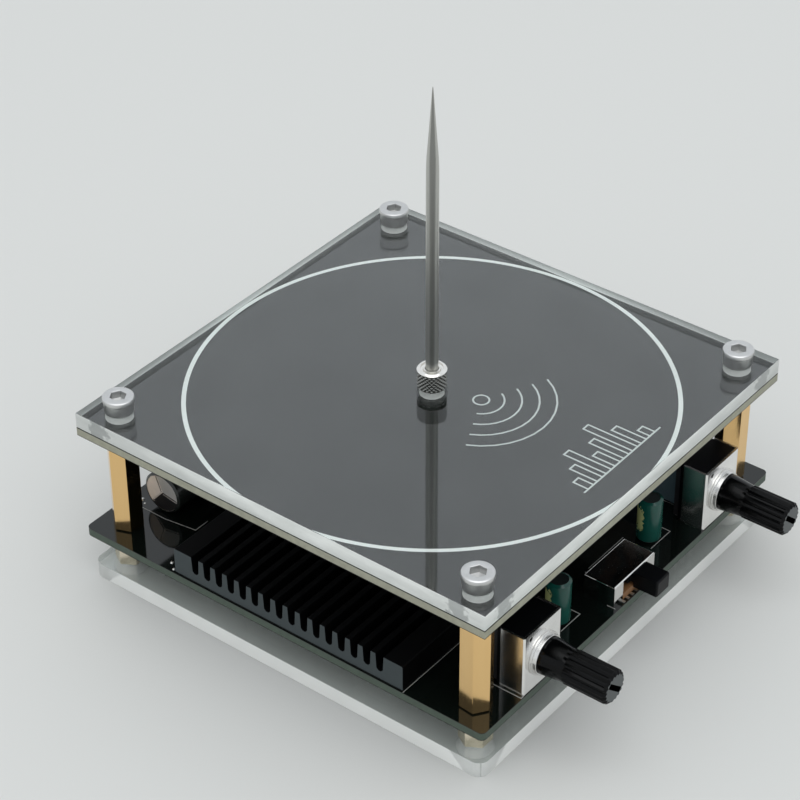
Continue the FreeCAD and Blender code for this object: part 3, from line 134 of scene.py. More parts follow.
def make_variation():
    """Shader group: cloudy colour, uneven gloss and a fine grain in the surface."""
    tree = bpy.data.node_groups.new("surface_variation", "ShaderNodeTree")
    add_socket(tree, "Color", "Color", (0.5, 0.5, 0.5, 1.0))
    add_socket(tree, "Shade", "Color", (0.4, 0.4, 0.4, 1.0))
    add_socket(tree, "Roughness", "Float", 0.4)
    add_socket(tree, "Spread", "Float", 0.1)
    add_socket(tree, "Scale", "Float", 200.0)
    add_socket(tree, "Stretch", "Vector", (1.0, 1.0, 1.0))
    add_socket(tree, "Color", "Color", None, "OUTPUT")
    add_socket(tree, "Roughness", "Float", None, "OUTPUT")
    add_socket(tree, "Height", "Float", None, "OUTPUT")
    given, out = tree.nodes.new("NodeGroupInput").outputs, tree.nodes.new("NodeGroupOutput").inputs
    link = tree.links.new
    place = tree.nodes.new("ShaderNodeTexCoord")
    drawn = tree.nodes.new("ShaderNodeVectorMath")
    drawn.operation = "MULTIPLY"
    link(place.outputs["Object"], drawn.inputs[0])
    link(given["Stretch"], drawn.inputs[1])
    cloud, grain = (tree.nodes.new("ShaderNodeTexNoise") for _ in range(2))
    finer = maths(tree, "MULTIPLY", given["Scale"], 9.0)
    for noise, scale in ((cloud, given["Scale"]), (grain, finer)):
        noise.inputs["Detail"].default_value = 2.0
        link(drawn.outputs[0], noise.inputs["Vector"])
        link(scale, noise.inputs["Scale"])
    link(mixed(tree, cloud.outputs["Fac"], given["Color"], given["Shade"]), out["Color"])
    uneven = maths(tree, "SUBTRACT", grain.outputs["Fac"], 0.5)
    link(maths(tree, "MULTIPLY_ADD", uneven, given["Spread"], given["Roughness"]), out["Roughness"])
    link(grain.outputs["Fac"], out["Height"])
    return tree


variation = make_variation()


def finish(name, color, roughness, metallic=0.0, shade=None, spread=0.1, scale=300.0,
           stretch=(1.0, 1.0, 1.0), bump=0.0, depth=0.00002, **plain):
    """A material whose colour, gloss and grain vary over it; plain sockets are set as they are."""
    material = bpy.data.materials.new(name)
    material.use_nodes = True
    tree = material.node_tree
    shader = tree.nodes["Principled BSDF"]
    shader.inputs["Metallic"].default_value = metallic
    for socket, value in plain.items():
        shader.inputs[socket.replace("_", " ")].default_value = value
    group = tree.nodes.new("ShaderNodeGroup")
    group.node_tree = variation
    group.name = "variation"
    group.inputs["Color"].default_value = (*color, 1.0)
    group.inputs["Shade"].default_value = (*(shade or [part * 0.82 for part in color]), 1.0)
    group.inputs["Roughness"].default_value = roughness
    group.inputs["Spread"].default_value = spread
    group.inputs["Scale"].default_value = scale
    group.inputs["Stretch"].default_value = stretch
    tree.links.new(group.outputs["Color"], shader.inputs["Base Color"])
    tree.links.new(group.outputs["Roughness"], shader.inputs["Roughness"])
    if bump:
        relief = tree.nodes.new("ShaderNodeBump")
        relief.inputs["Strength"].default_value = bump
        relief.inputs["Distance"].default_value = depth
        tree.links.new(group.outputs["Height"], relief.inputs["Height"])
        tree.links.new(relief.outputs["Normal"], shader.inputs["Normal"])
    return material


table_mesh.materials.append(
    finish("table_paint", (0.690, 0.708, 0.700), 0.6, shade=(0.675, 0.693, 0.685), scale=3.0))


# ---------------------------------------------------------------- base plate
# A laser-cut plate of clear cast acrylic, polished on both faces and frosted along its cut
# edges and in its four countersunk holes. Some light comes through its rounded corners.

CLEAR, EDGE, DRILLED, CORNER = range(4)
ACRYLIC_IOR = 1.49
CLEAR_PASSES = (0.90, 0.92, 0.91)
FROST_PASSES = (0.80, 0.82, 0.81)


def let_light_through(material, color):
    """Let a material pass the light that falls on other things, as clear acrylic does."""
    tree = material.node_tree
    passing = tree.nodes.new("ShaderNodeBsdfTransparent")
    passing.inputs["Color"].default_value = (*color, 1.0)
    ray = tree.nodes.new("ShaderNodeLightPath").outputs
    either = tree.nodes.new("ShaderNodeMixShader")
    unseen = maths(tree, "MAXIMUM", ray["Is Shadow Ray"], ray["Is Diffuse Ray"])
    tree.links.new(unseen, either.inputs["Fac"])
    tree.links.new(tree.nodes["Principled BSDF"].outputs[0], either.inputs[1])
    tree.links.new(passing.outputs[0], either.inputs[2])
    tree.links.new(either.outputs[0], tree.nodes["Material Output"].inputs["Surface"])


acrylic = finish("clear_acrylic", (0.975, 0.99, 0.985), 0.01, spread=0.0, scale=60.0,
                 IOR=ACRYLIC_IOR, Transmission_Weight=1.0)
let_light_through(acrylic, CLEAR_PASSES)
cut_corner = finish("acrylic_corner", (0.90, 0.92, 0.91), 0.35, scale=90.0, IOR=ACRYLIC_IOR,
                    Transmission_Weight=0.45)
let_light_through(cut_corner, CLEAR_PASSES)
base_edge = finish("base_cut_edge", (0.92, 0.94, 0.925), 0.35, shade=(0.72, 0.74, 0.725),
                   scale=90.0)
let_light_through(base_edge, FROST_PASSES)
sunk_edge = finish("sunk_acrylic", (0.60, 0.62, 0.61), 0.4, shade=(0.44, 0.46, 0.45),
                   scale=900.0)


def merged(node):
    """A solid as an editable mesh, its loose triangles joined into flat faces."""
    work = bmesh.new()
    work.from_mesh(nodes[node].data)
    bmesh.ops.remove_doubles(work, verts=work.verts, dist=1e-6)
    bmesh.ops.dissolve_limit(work, angle_limit=math.radians(0.5), verts=work.verts,
                             edges=work.edges)
    return work


def split(work, faces, point, normal):
    """Cut some faces of an editable mesh along a plane."""
    around = {part for face in faces for part in (*face.edges, *face.verts)}
    bmesh.ops.bisect_plane(work, geom=[*faces, *around], plane_co=point, plane_no=normal)


def settle(piece):
    """Turn a piece with its modifiers into a plain mesh."""
    evaluated = piece.evaluated_get(bpy.context.evaluated_depsgraph_get())
    mesh = bpy.data.meshes.new_from_object(evaluated)
    piece.modifiers.clear()
    piece.data = mesh


def new_piece(name, work, materials):
    """An object from an editable mesh."""
    mesh = bpy.data.meshes.new(name)
    work.to_mesh(mesh)
    work.free()
    for material in materials:
        mesh.materials.append(material)
    piece = bpy.data.objects.new(name, mesh)
    bpy.context.scene.collection.objects.link(piece)
    return piece


def stand_for(piece, node, body="chassis"):
    """Let a piece ride on a body and take a node's place and finish."""
    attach(piece, body)
    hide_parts(node)


def eased(node, width, *materials, body="chassis", choose=None, work=None):
    """A copy of a solid whose edges are broken; choose gives a face's finish by its place."""
    work = work or merged(node)
    for face in work.faces:
        face.smooth = True
        face.material_index = choose(face.normal, face.calc_center_median()) if choose else 0
    piece = new_piece(f"{node}_eased", work, materials)
    bevel = piece.modifiers.new("bevel", "BEVEL")
    bevel.width = width
    bevel.segments = 2
    bevel.limit_method = "ANGLE"
    bevel.angle_limit = math.radians(35)
    weighted = piece.modifiers.new("weighted", "WEIGHTED_NORMAL")
    weighted.keep_sharp = True
    settle(piece)
    stand_for(piece, node, body)


# How much of a face's normal lies along an axis when the face looks along that axis.
ALONG = 0.9
# How far from the middle the outer edges lie at least, and how far along them a corner begins.
OUTSIDE_FROM = 0.042
CORNER_FROM = 0.039


def is_outer(place):
    """Whether a face is far enough from a plate's middle to be part of its outer edge."""
    return max(abs(place.x), abs(place.y)) > OUTSIDE_FROM


def base_face(normal, place):
    """The finish of a face of the base plate: the middle strip of a corner is dull, as holes are."""
    if abs(normal.z) > ALONG:
        return CLEAR
    if not is_outer(place):
        return DRILLED
    return CORNER if min(abs(place.x), abs(place.y)) > CORNER_FROM else EDGE


# Slanted cuts part the corners' share of the long edges from the rest of them.
base_work = merged("base_plate")
for axis in (Vector((1, 0, 0)), Vector((0, 1, 0))):
    for side in (-1, 1):
        walls = [face for face in base_work.faces
                 if abs(face.normal.z) < ALONG and is_outer(face.calc_center_median())]
        split(base_work, walls, axis * side * CORNER_FROM, axis + Vector((0, 0, side)))
eased("base_plate", 0.0001, acrylic, base_edge, sunk_edge, cut_corner, choose=base_face,
      work=base_work)


def dress(node, material):
    """Give a solid of the frame its finish."""
    mesh = nodes[node].data
    mesh.materials.clear()
    mesh.materials.append(material)


# ---------------------------------------------------------------- base screws
# Countersunk screws of plated steel, which hold the short standoffs from below.

zinc = finish("zinc_plate", (0.62, 0.63, 0.64), 0.28, 1.0, spread=0.15, scale=900.0, bump=0.15)
dress("base_screws", zinc)


# ---------------------------------------------------------------- standoffs
# Hexagonal brass bar, drawn, cut to length and chamfered, with fine lines along the flats. The
# short ones are painted a paler brass, a painted reflection of the pale floor seen in them. Each
# long one stands at the turn where its thread tightened.

SCREW_AT = 37.75
BAR_REACH = 0.005
# Degrees that a long standoff is turned further than its solid, by the signs of its X and Y.
EXTRA_TURNS = {(-1, -1): 19.0, (-1, 1): 32.0, (1, -1): -24.0}
brass = finish("drawn_brass", (0.88, 0.60, 0.28), 0.15, 1.0, shade=(0.82, 0.53, 0.23),
               spread=0.12, scale=400.0, stretch=(1.0, 1.0, 0.05), bump=0.12, depth=0.00001)
# Painted reflection: the short standoffs' brass is lightened to stand for the pale floor seen in it.
brass_painted_reflection = finish("brass_painted_reflection", (0.95, 0.85, 0.67), 0.25, 1.0, spread=0.12, scale=400.0,
                    bump=0.12)
eased("lower_standoffs", 0.00005, brass_painted_reflection)
standoff_work = merged("upper_standoffs")
for (side_x, side_y), turn in EXTRA_TURNS.items():
    middle = Vector((side_x * SCREW_AT / 1000, side_y * SCREW_AT / 1000, 0))
    own = [vert for vert in standoff_work.verts if (vert.co - middle).xy.length < BAR_REACH]
    bmesh.ops.rotate(standoff_work, verts=own, cent=middle,
                     matrix=Matrix.Rotation(math.radians(turn), 3, "Z"))
eased("upper_standoffs", 0.00005, brass, work=standoff_work)


# ---------------------------------------------------------------- driver board
# Glass-fibre laminate under a glossy black solder mask, with its cut edge left bare.
# White lines printed on it frame the parts; their white is painted down to grey as shade under the
# coil board.

DRIVER_TOP = 10.6
BOARD_THICK = 1.6
MASK_THICK = 0.12


def board(name, edge_color, top):
    """A board's material: mask on its faces and bare laminate on its cut walls."""
    material = finish(name, (0.0030, 0.0048, 0.0040), 0.06, shade=(0.0040, 0.0060, 0.0052),
                      spread=0.0, scale=220.0, IOR=1.5)
    tree = material.node_tree
    shader, group = tree.nodes["Principled BSDF"], tree.nodes["variation"]
    place = tree.nodes.new("ShaderNodeTexCoord").outputs["Object"]
    spot = tree.nodes.new("ShaderNodeSeparateXYZ")
    tree.links.new(place, spot.inputs[0])
    off_middle = maths(tree, "SUBTRACT", spot.outputs["Z"], (top - BOARD_THICK / 2) / 1000)
    inner_half = (BOARD_THICK / 2 - MASK_THICK) / 1000
    bare = maths(tree, "LESS_THAN", maths(tree, "ABSOLUTE", off_middle), inner_half)
    layers = tree.nodes.new("ShaderNodeTexNoise")
    layers.inputs["Scale"].default_value = 900.0
    tree.links.new(place, layers.inputs["Vector"])
    fibre = mixed(tree, layers.outputs["Fac"], edge_color, tuple(part * 0.6 for part in edge_color))
    tree.links.new(mixed(tree, bare, group.outputs["Color"], fibre), shader.inputs["Base Color"])
    tree.links.new(maths(tree, "MULTIPLY_ADD", bare, 0.5, group.outputs["Roughness"]),
                   shader.inputs["Roughness"])
    return material


dress("driver_board", board("driver_mask", (0.065, 0.095, 0.070), DRIVER_TOP))

# Painted shade: the white print is painted grey for the coil board's shade over it.
ink = finish("white_ink_painted_shade", (0.42, 0.43, 0.42), 0.55, shade=(0.32, 0.33, 0.32), scale=1200.0)
PRINT_LINE = 0.15
PRINT_THICK = 0.02

# Each run is a printed line, from point to point on the board.
printed_runs = [
    [(-42.9, -26.9), (-17.0, -26.9)],
    [(-21.3, -42.8), (-32.4, -42.8), (-32.4, -35.6), (-21.3, -35.6)],
    [(22.5, -36.5), (22.5, -42.8), (31.7, -42.8)],
    [(1.1, -32.9), (11.6, -32.9)],
    [(-0.1, -33.0), (0.6, -37.5)],
    [(-3.7, -39.8), (-5.0, -40.9), (-5.0, -42.5)],
    [(18.0, -36.6), (18.0, -38.4), (12.0, -38.4)],
    [(-9.6, -36.2), (-9.6, -38.5), (-15.2, -38.5)],
    [(24.6, -32.4), (24.6, -36.1)],
    [(-33.0, 42.6), (-33.0, 33.5), (-32.1, 27.2), (-28.9, 27.2)],
    [(-0.4, -12.0), (-0.4, -4.0), (10.4, -4.0), (10.4, -12.0), (-0.4, -12.0)],
    [(3.4, 9.4), (12.6, 9.4), (12.6, 18.6), (3.4, 18.6), (3.4, 9.4)],
    [(-7.2, 28.4), (3.2, 28.4), (3.2, 42.6)],
    [(16.2, 29.6), (23.8, 29.6), (23.8, 42.6)],
]


def loose_piece(name, points, faces, *materials, smooth_over=35):
    """A piece from points in millimetres, smooth except over sharp edges, on no body yet."""
    work = bmesh.new()
    corners = [work.verts.new((x / 1000, y / 1000, z / 1000)) for x, y, z in points]
    for face in faces:
        work.faces.new([corners[corner] for corner in face]).smooth = True
    bmesh.ops.remove_doubles(work, verts=work.verts, dist=1e-7)
    bmesh.ops.recalc_face_normals(work, faces=work.faces)
    for edge in work.edges:
        edge.smooth = edge.is_manifold and edge.calc_face_angle(0) < math.radians(smooth_over)
    return new_piece(name, work, materials)


def stroke_edges(run, width):
    """Both edges of a line drawn along a run of points, mitred where it turns."""
    closed = run[0] == run[-1]
    spots = [Vector(spot) for spot in (run[:-1] if closed else run)]
    sides = []
    for first, second in zip(spots, spots[1:] + spots[:1]):
        along = (second - first).normalized()
        sides.append(Vector((-along.y, along.x)))
    edges = []
    for index, spot in enumerate(spots):
        ahead, behind = sides[index], sides[index - 1]
        if not closed and index == 0:
            behind = ahead
        if not closed and index == len(spots) - 1:
            ahead = behind
        reach = (ahead + behind) * (width / 2 / (1 + ahead.dot(behind)))
        edges.append((spot + reach, spot - reach))
    return edges, closed


def printed_lines(name, runs, top, width, material):
    """Flat printed strokes along straight runs on a board."""
    points, faces = [], []
    for run in runs:
        edges, closed = stroke_edges(run, width)
        rings = []
        for left, right in edges:
            rings.append([len(points) + corner for corner in range(4)])
            points += [(*left, top + PRINT_THICK), (*right, top + PRINT_THICK),
                       (*right, top - PRINT_THICK), (*left, top - PRINT_THICK)]
        if not closed:
            faces += [tuple(rings[0]), tuple(rings[-1])]
        for first, second in zip(rings, rings[1:] + rings[:1] if closed else rings[1:]):
            for corner in range(4):
                following = (corner + 1) % 4
                faces.append((first[corner], first[following], second[following], second[corner]))
    piece = loose_piece(name, points, faces, material)
    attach(piece, "chassis")


printed_lines("driver_print", printed_runs, DRIVER_TOP, PRINT_LINE, ink)


# ---------------------------------------------------------------- heat sink and power transistors
# A black anodised comb whose fins end in a slate grey face, on a grey silicone pad. Two moulded
# power transistors hang below the board, clamped by screws that reach up into the sink.

SINK_END = -0.0425
sink_black = finish("sink_anodised", (0.0015, 0.0016, 0.0018), 0.5, scale=350.0,
                    Specular_IOR_Level=0.08)
sink_slate = finish("sink_end_face", (0.035, 0.049, 0.054), 0.42, 0.3,
                    shade=(0.027, 0.038, 0.042), scale=420.0, bump=0.15)
pad_grey = finish("silicone_pad", (0.42, 0.44, 0.45), 0.75, scale=900.0, bump=0.3)
epoxy = finish("moulded_epoxy", (0.022, 0.022, 0.024), 0.45, scale=1500.0, bump=0.3)
tin = finish("tinned_metal", (0.74, 0.74, 0.71), 0.40, 1.0, spread=0.25, scale=700.0, bump=0.3)


def sink_face(normal, place):
    """The finish of a face of the heat sink: slate grey on the left ends."""
    return int(normal.x < -ALONG and place.x < SINK_END)


eased("heat_sink", 0.00005, sink_black, sink_slate, choose=sink_face)
dress("thermal_pad", pad_grey)
dress("transistor_tabs", tin)
eased("transistor_bodies", 0.0001, epoxy)
dress("transistor_leads", tin)
dress("sink_screws", zinc)


# ---------------------------------------------------------------- electrolytic capacitors
# Drawn aluminium cans in shrunk sleeves that fold over their rims. The two small green ones
# carry a pale stripe, shown only round mid-height with painted shade above and below it; their
# tops are painted dark as shade. The large dark one lies on its side; three scores divide its
# end, and each third of it is painted with its own light or shade.

rubber = finish("bung_rubber", (0.03, 0.03, 0.03), 0.7, scale=900.0, bump=0.3)

SMALL_CANS_X = (-0.0129, 0.0145)
SMALL_CANS_Y = -0.0362
# The stripe is on the side that STRIPE_TO points to, further than STRIPE_EDGE from the axis.
STRIPE_TO = (-0.883, 0.469)
STRIPE_EDGE = 0.00190
STRIPE_RAGGED = 0.0008
# The stripe shows only round this height, where light falls on it; above and below it, painted shade
# hides it.
STRIPE_LIT_MIDDLE = 0.0156
STRIPE_LIT_HALF = 0.0022


def striped_sleeve():
    """Green sleeve film with a pale ragged stripe down one side of each standing can; painted
    shade hides the stripe above and below mid-height.
    """
    material = finish("green_sleeve", (0.007, 0.085, 0.066), 0.2, shade=(0.005, 0.055, 0.042),
                      spread=0.08, scale=500.0)
    tree = material.node_tree
    place = tree.nodes.new("ShaderNodeTexCoord").outputs["Object"]
    spot = tree.nodes.new("ShaderNodeSeparateXYZ")
    tree.links.new(place, spot.inputs[0])
    right = maths(tree, "GREATER_THAN", spot.outputs["X"], 0.0)
    left_x, right_x = SMALL_CANS_X
    middle = maths(tree, "MULTIPLY_ADD", right, right_x - left_x, left_x)
    across = maths(tree, "SUBTRACT", spot.outputs["X"], middle)
    along = maths(tree, "SUBTRACT", spot.outputs["Y"], SMALL_CANS_Y)
    reach = maths(tree, "MULTIPLY_ADD", along, STRIPE_TO[1],
                  maths(tree, "MULTIPLY", across, STRIPE_TO[0]))
    ragged = tree.nodes.new("ShaderNodeTexNoise")
    ragged.inputs["Scale"].default_value = 1800.0
    tree.links.new(place, ragged.inputs["Vector"])
    edge = maths(tree, "MULTIPLY_ADD", ragged.outputs["Fac"], STRIPE_RAGGED,
                 STRIPE_EDGE - STRIPE_RAGGED / 2)
    off_middle = maths(tree, "ABSOLUTE", maths(tree, "SUBTRACT", spot.outputs["Z"], STRIPE_LIT_MIDDLE))
    ends = maths(tree, "MULTIPLY", ragged.outputs["Fac"], STRIPE_LIT_HALF * 2)
    stripe = maths(tree, "MULTIPLY", maths(tree, "GREATER_THAN", reach, edge),
                   maths(tree, "LESS_THAN", off_middle, ends))
    shader, group = tree.nodes["Principled BSDF"], tree.nodes["variation"]
    tree.links.new(mixed(tree, stripe, group.outputs["Color"], (0.42, 0.46, 0.20)),
                   shader.inputs["Base Color"])
    return material


# Painted shade: the small cans' aluminium tops are painted dark for the black board above them,
# which shades them and is seen in them.
dress("front_capacitor_cans", finish("can_top_painted_shade", (0.03, 0.04, 0.04), 0.3, 0.5, scale=600.0))
dress("front_capacitor_sleeves", striped_sleeve())
dress("front_capacitor_bungs", rubber)
dress("front_capacitor_leads", tin)

CAN_AXIS_Y = 0.0352
CAN_AXIS_Z = 0.01465
CAN_END = -0.030
CAN_SCORES = (71, 191, 311)
can_metal = finish("drawn_aluminium", (0.74, 0.72, 0.70), 0.26, 1.0, spread=0.15, scale=600.0,
                   bump=0.15)
# Painted light and shade: the three thirds of the lying can's end are one aluminium, painted grey,
# dark and lit.
can_end_painted_half_shade = finish("can_end_painted_half_shade", (0.62, 0.62, 0.61), 0.42, 0.3, scale=600.0, bump=0.15)
can_end_painted_shade = finish("can_end_painted_shade", (0.05, 0.05, 0.055), 0.42, 0.8, scale=600.0, bump=0.15)
can_end_painted_highlight = finish("can_end_painted_highlight", (0.96, 0.88, 0.82), 0.45, scale=600.0, bump=0.15)
dark_film = finish("dark_sleeve", (0.018, 0.022, 0.020), 0.25, spread=0.08, scale=500.0)


def on_can_end(normal, place):
    """Whether a face of the lying can is on its scored end."""
    return normal.x < -ALONG and place.x < CAN_END


def can_sector(place):
    """Which third of the lying can's end a place is in, counted from the scores."""
    angle = math.degrees(math.atan2(place.z - CAN_AXIS_Z, place.y - CAN_AXIS_Y))
    return int((angle - CAN_SCORES[0]) % 360 // 120)


def can_face(normal, place):
    """The finish of a face of the lying can: each third of its end takes its own painted light or
    shade.
    """
    return 1 + can_sector(place) if on_can_end(normal, place) else 0


can_work = merged("reservoir_can")
for score in CAN_SCORES:
    ends = [face for face in can_work.faces
            if on_can_end(face.normal, face.calc_center_median())]
    across = (0, -math.sin(math.radians(score)), math.cos(math.radians(score)))
    split(can_work, ends, (0, CAN_AXIS_Y, CAN_AXIS_Z), across)
eased("reservoir_can", 0.00004, can_metal, can_end_painted_half_shade, can_end_painted_shade, can_end_painted_highlight,
      choose=can_face, work=can_work)
dress("reservoir_sleeve", dark_film)
dress("reservoir_bung", rubber)
dress("reservoir_leads", tin)


# ---------------------------------------------------------------- other parts of the circuit
# A dipped film capacitor, two sockets on the rear edge, the driver chip, the choke and a few
# chip resistors.

film_case = finish("film_case", (0.11, 0.17, 0.20), 0.25, scale=400.0)
black_moulding = finish("black_moulding", (0.010, 0.010, 0.011), 0.38, scale=1500.0, bump=0.25)
contact_brass = finish("contact_brass", (0.78, 0.62, 0.34), 0.25, 1.0, scale=600.0, bump=0.1)
ferrite = finish("ferrite", (0.05, 0.05, 0.055), 0.5, scale=1200.0, bump=0.4)
enamelled_wire = finish("enamelled_wire", (0.55, 0.22, 0.07), 0.3, 0.9, scale=250.0,
                        stretch=(0.3, 0.3, 6.0), bump=0.9, depth=0.00008)
ceramic = finish("resistor_ceramic", (0.02, 0.02, 0.022), 0.4, scale=900.0, bump=0.2)
eased("film_capacitor", 0.0002, film_case)
dress("film_capacitor_leads", tin)
eased("power_jack_housing", 0.0002, black_moulding)
dress("power_jack_pin", tin)
dress("power_jack_spring", contact_brass)
eased("audio_jack_body", 0.00015, black_moulding)
dress("audio_jack_contacts", tin)
eased("driver_chip", 0.0001, epoxy)
dress("driver_chip_legs", tin)
dress("choke_core", ferrite)
dress("choke_winding", enamelled_wire)
dress("chip_resistors", ceramic)


# ---------------------------------------------------------------- slide switch
# A folded shell of bright plated steel over a brown laminate base, with a black lever that
# slides across its front, and solder feet under it.

bright_steel = finish("bright_steel", (0.80, 0.79, 0.765), 0.07, 1.0, spread=0.05, scale=500.0,
                      bump=0.03)
laminate = finish("brown_laminate", (0.26, 0.13, 0.055), 0.5, scale=900.0, bump=0.2)
lever_black = finish("lever_moulding", (0.002, 0.0023, 0.003), 0.3, scale=1500.0, bump=0.1,
                     Specular_IOR_Level=0.13)
eased("switch_shell", 0.00005, bright_steel)
dress("switch_base", laminate)
dress("switch_feet", tin)
dress("switch_contacts", contact_brass)
eased("switch_lever", 0.00012, lever_black, body="switch_slider")
dress("switch_bridge", contact_brass)


# ---------------------------------------------------------------- potentiometers
# A folded frame of pressed steel round a black moulded case, a die-cast bushing riveted through
# the frame, and a black moulded shaft. The shaft's fluted, slotted end is cut to length and
# takes a push-on knob.

SHAFT_TIP = -0.0568
pressed_steel = finish("pressed_steel", (0.97, 0.96, 0.94), 0.23, 1.0, spread=0.06, scale=500.0,
                       bump=0.05)
bushing_metal = finish("die_cast_bushing", (0.80, 0.79, 0.77), 0.24, 1.0, scale=700.0, bump=0.1)
shaft_black = finish("shaft_moulding", (0.0015, 0.0016, 0.0018), 0.12, spread=0.04, scale=900.0,
                     bump=0.03, Specular_IOR_Level=0.14)
shaft_end = finish("shaft_cut_end", (0.045, 0.055, 0.058), 0.35, scale=1500.0, bump=0.1)


def shaft_face(normal, place):
    """The finish of a face of a shaft: its cut end is dull."""
    return int(normal.y < -ALONG and place.y < SHAFT_TIP)


for side in ("left", "right"):
    eased(f"{side}_pot_frame", 0.00006, pressed_steel)
    eased(f"{side}_pot_case", 0.0001, lever_black)
    dress(f"{side}_pot_wafer", black_moulding)
    dress(f"{side}_pot_terminals", tin)
    eased(f"{side}_pot_bushing", 0.00008, bushing_metal)
    eased(f"{side}_pot_shaft", 0.00006, shaft_black, shaft_end, body=f"{side}_pot_rotor",
          choose=shaft_face)
    dress(f"{side}_pot_wiper", contact_brass)


# ---------------------------------------------------------------- solder blobs
# Small domes of solder, left where parts were tacked to the board's left edge.

SOLDER_BLOBS = ((-41.2, 24.5, 0.35), (-42.3, 23.1, 0.30), (-31.3, 40.4, 0.40), (-31.9, 39.3, 0.22),
                (-26.9, 33.8, 0.30))
DOME = ((0, 0), (1, 0), (0.8, 0.5), (0.4, 0.72), (0, 0.8))
DOME_SUNK = 0.05


def turned(profile, count=96, closed=False):
    """Points and faces of a turned piece; a radius may also be a rule of the angle."""
    points, rings, faces = [], [], []
    for radius, height in profile:
        if not callable(radius) and radius == 0:
            rings.append([len(points)] * count)
            points.append((0.0, 0.0, height))
            continue
        rings.append(list(range(len(points), len(points) + count)))
        for index in range(count):
            angle = 2 * math.pi * index / count
            reach = radius(angle) if callable(radius) else radius
            points.append((reach * math.cos(angle), reach * math.sin(angle), height))
    pairs = list(zip(rings, rings[1:]))
    if closed:
        pairs.append((rings[-1], rings[0]))
    for low, high in pairs:
        for index in range(count):
            following = (index + 1) % count
            face = (low[index], low[following], high[following], high[index])
            faces.append(tuple(dict.fromkeys(face)))
    return points, faces


blob_points, blob_faces = [], []
for x, y, radius in SOLDER_BLOBS:
    first = len(blob_points)
    dome, dome_faces = turned([(radius * out, radius * up) for out, up in DOME], 16)
    blob_points += [(x + px, y + py, DRIVER_TOP - DOME_SUNK + pz) for px, py, pz in dome]
    blob_faces += [tuple(first + corner for corner in face) for face in dome_faces]
blobs = loose_piece("solder_blobs", blob_points, blob_faces, tin, smooth_over=70)
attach(blobs, "chassis")


# ---------------------------------------------------------------- coil board and windings
# The upper board, black and glossy, with a white ring and a small set of drawn lines printed
# on it. The flat driven winding and the fine inner one lie on its underside under the mask.

COIL_TOP = 32.2
dress("coil_board", board("coil_mask", (0.40, 0.40, 0.31), COIL_TOP))
masked_copper = finish("masked_copper", (0.020, 0.012, 0.008), 0.12, 0.3, scale=500.0)
dress("primary_track", masked_copper)
dress("secondary_winding", masked_copper)

RING_INNER = 42.12
RING_OUTER = 42.92
ring_ink = finish("ring_ink", (0.97, 1.0, 1.0), 0.5, shade=(0.90, 0.95, 0.95), scale=1200.0)
ring_profile = [(RING_INNER, COIL_TOP - PRINT_THICK), (RING_OUTER, COIL_TOP - PRINT_THICK),
                (RING_OUTER, COIL_TOP + PRINT_THICK), (RING_INNER, COIL_TOP + PRINT_THICK)]
ring = loose_piece("printed_ring", *turned(ring_profile, 192, closed=True), ring_ink)
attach(ring, "chassis")


def arc(x, y, radius, start, end, steps=12):
    """Points along an arc, from one angle to another in degrees."""
    angles = [math.radians(start + (end - start) * step / steps) for step in range(steps + 1)]
    return [(x + radius * math.cos(angle), y + radius * math.sin(angle)) for angle in angles]


def ring_points(radius, x=0.0, y=0.0, count=64):
    """Points round a circle."""
    return arc(x, y, radius, 0, 360, count)[:-1]


BAR_HEIGHTS = (3.0, 5.5, 8.5, 4.5, 7.0, 10.0, 6.0, 2.5)
BAR_START = -5.8
BAR_PITCH = 2.6
BAR_WIDE = 1.5
BAR_FOOT = -36.5
FOOT_ENDS = (-7.0, 15.5)
ARCS_AT = (3.4, -8.0)
ARC_RADII = (4, 7, 10, 13)
ARC_ENDS = (-155, -25)
DOT_RADIUS = 1.4
MOTIF_LINE = 0.32
motif = [[(x, BAR_FOOT) for x in FOOT_ENDS]]
for index, height in enumerate(BAR_HEIGHTS):
    left = BAR_START + index * BAR_PITCH
    right = left + BAR_WIDE
    low, top = BAR_FOOT + MOTIF_LINE / 2, BAR_FOOT + height
    motif.append([(left, low), (left, top), (right, top), (right, low)])
motif += [arc(*ARCS_AT, radius, *ARC_ENDS) for radius in ARC_RADII]
dot = ring_points(DOT_RADIUS, *ARCS_AT, 24)
motif.append([*dot, dot[0]])
motif_ink = finish("motif_ink", (0.72, 0.77, 0.77), 0.5, shade=(0.62, 0.67, 0.67), scale=1200.0)
printed_lines("coil_print", motif, COIL_TOP, MOTIF_LINE, motif_ink)


# ---------------------------------------------------------------- cover plate
# A look-through plate of the same acrylic, cut square, with wide holes for the four cap screws
# and one in the middle for the needle's terminal.

COVER_LIFT = 0.04
COVER_TOP = 35.2
COVER_BEVEL = 0.12
PLATE_HALF = 43.0
SCREW_HOLE = 2.4
MIDDLE_HOLE = 2.15
# How far the painted shade of a screw behind the edge reaches from it, what that is cut back
# by, and its rim and darkness.
SCREW_SHADE_REACH = 0.0060
SCREW_SHADE_SHIFT = -0.0008
SCREW_SHADE_SHARP = 1100.0
SCREW_SHADE_DARK = 0.55
drilled_edge = finish("drilled_acrylic", (0.80, 0.82, 0.81), 0.4, shade=(0.62, 0.64, 0.63),
                      scale=900.0)


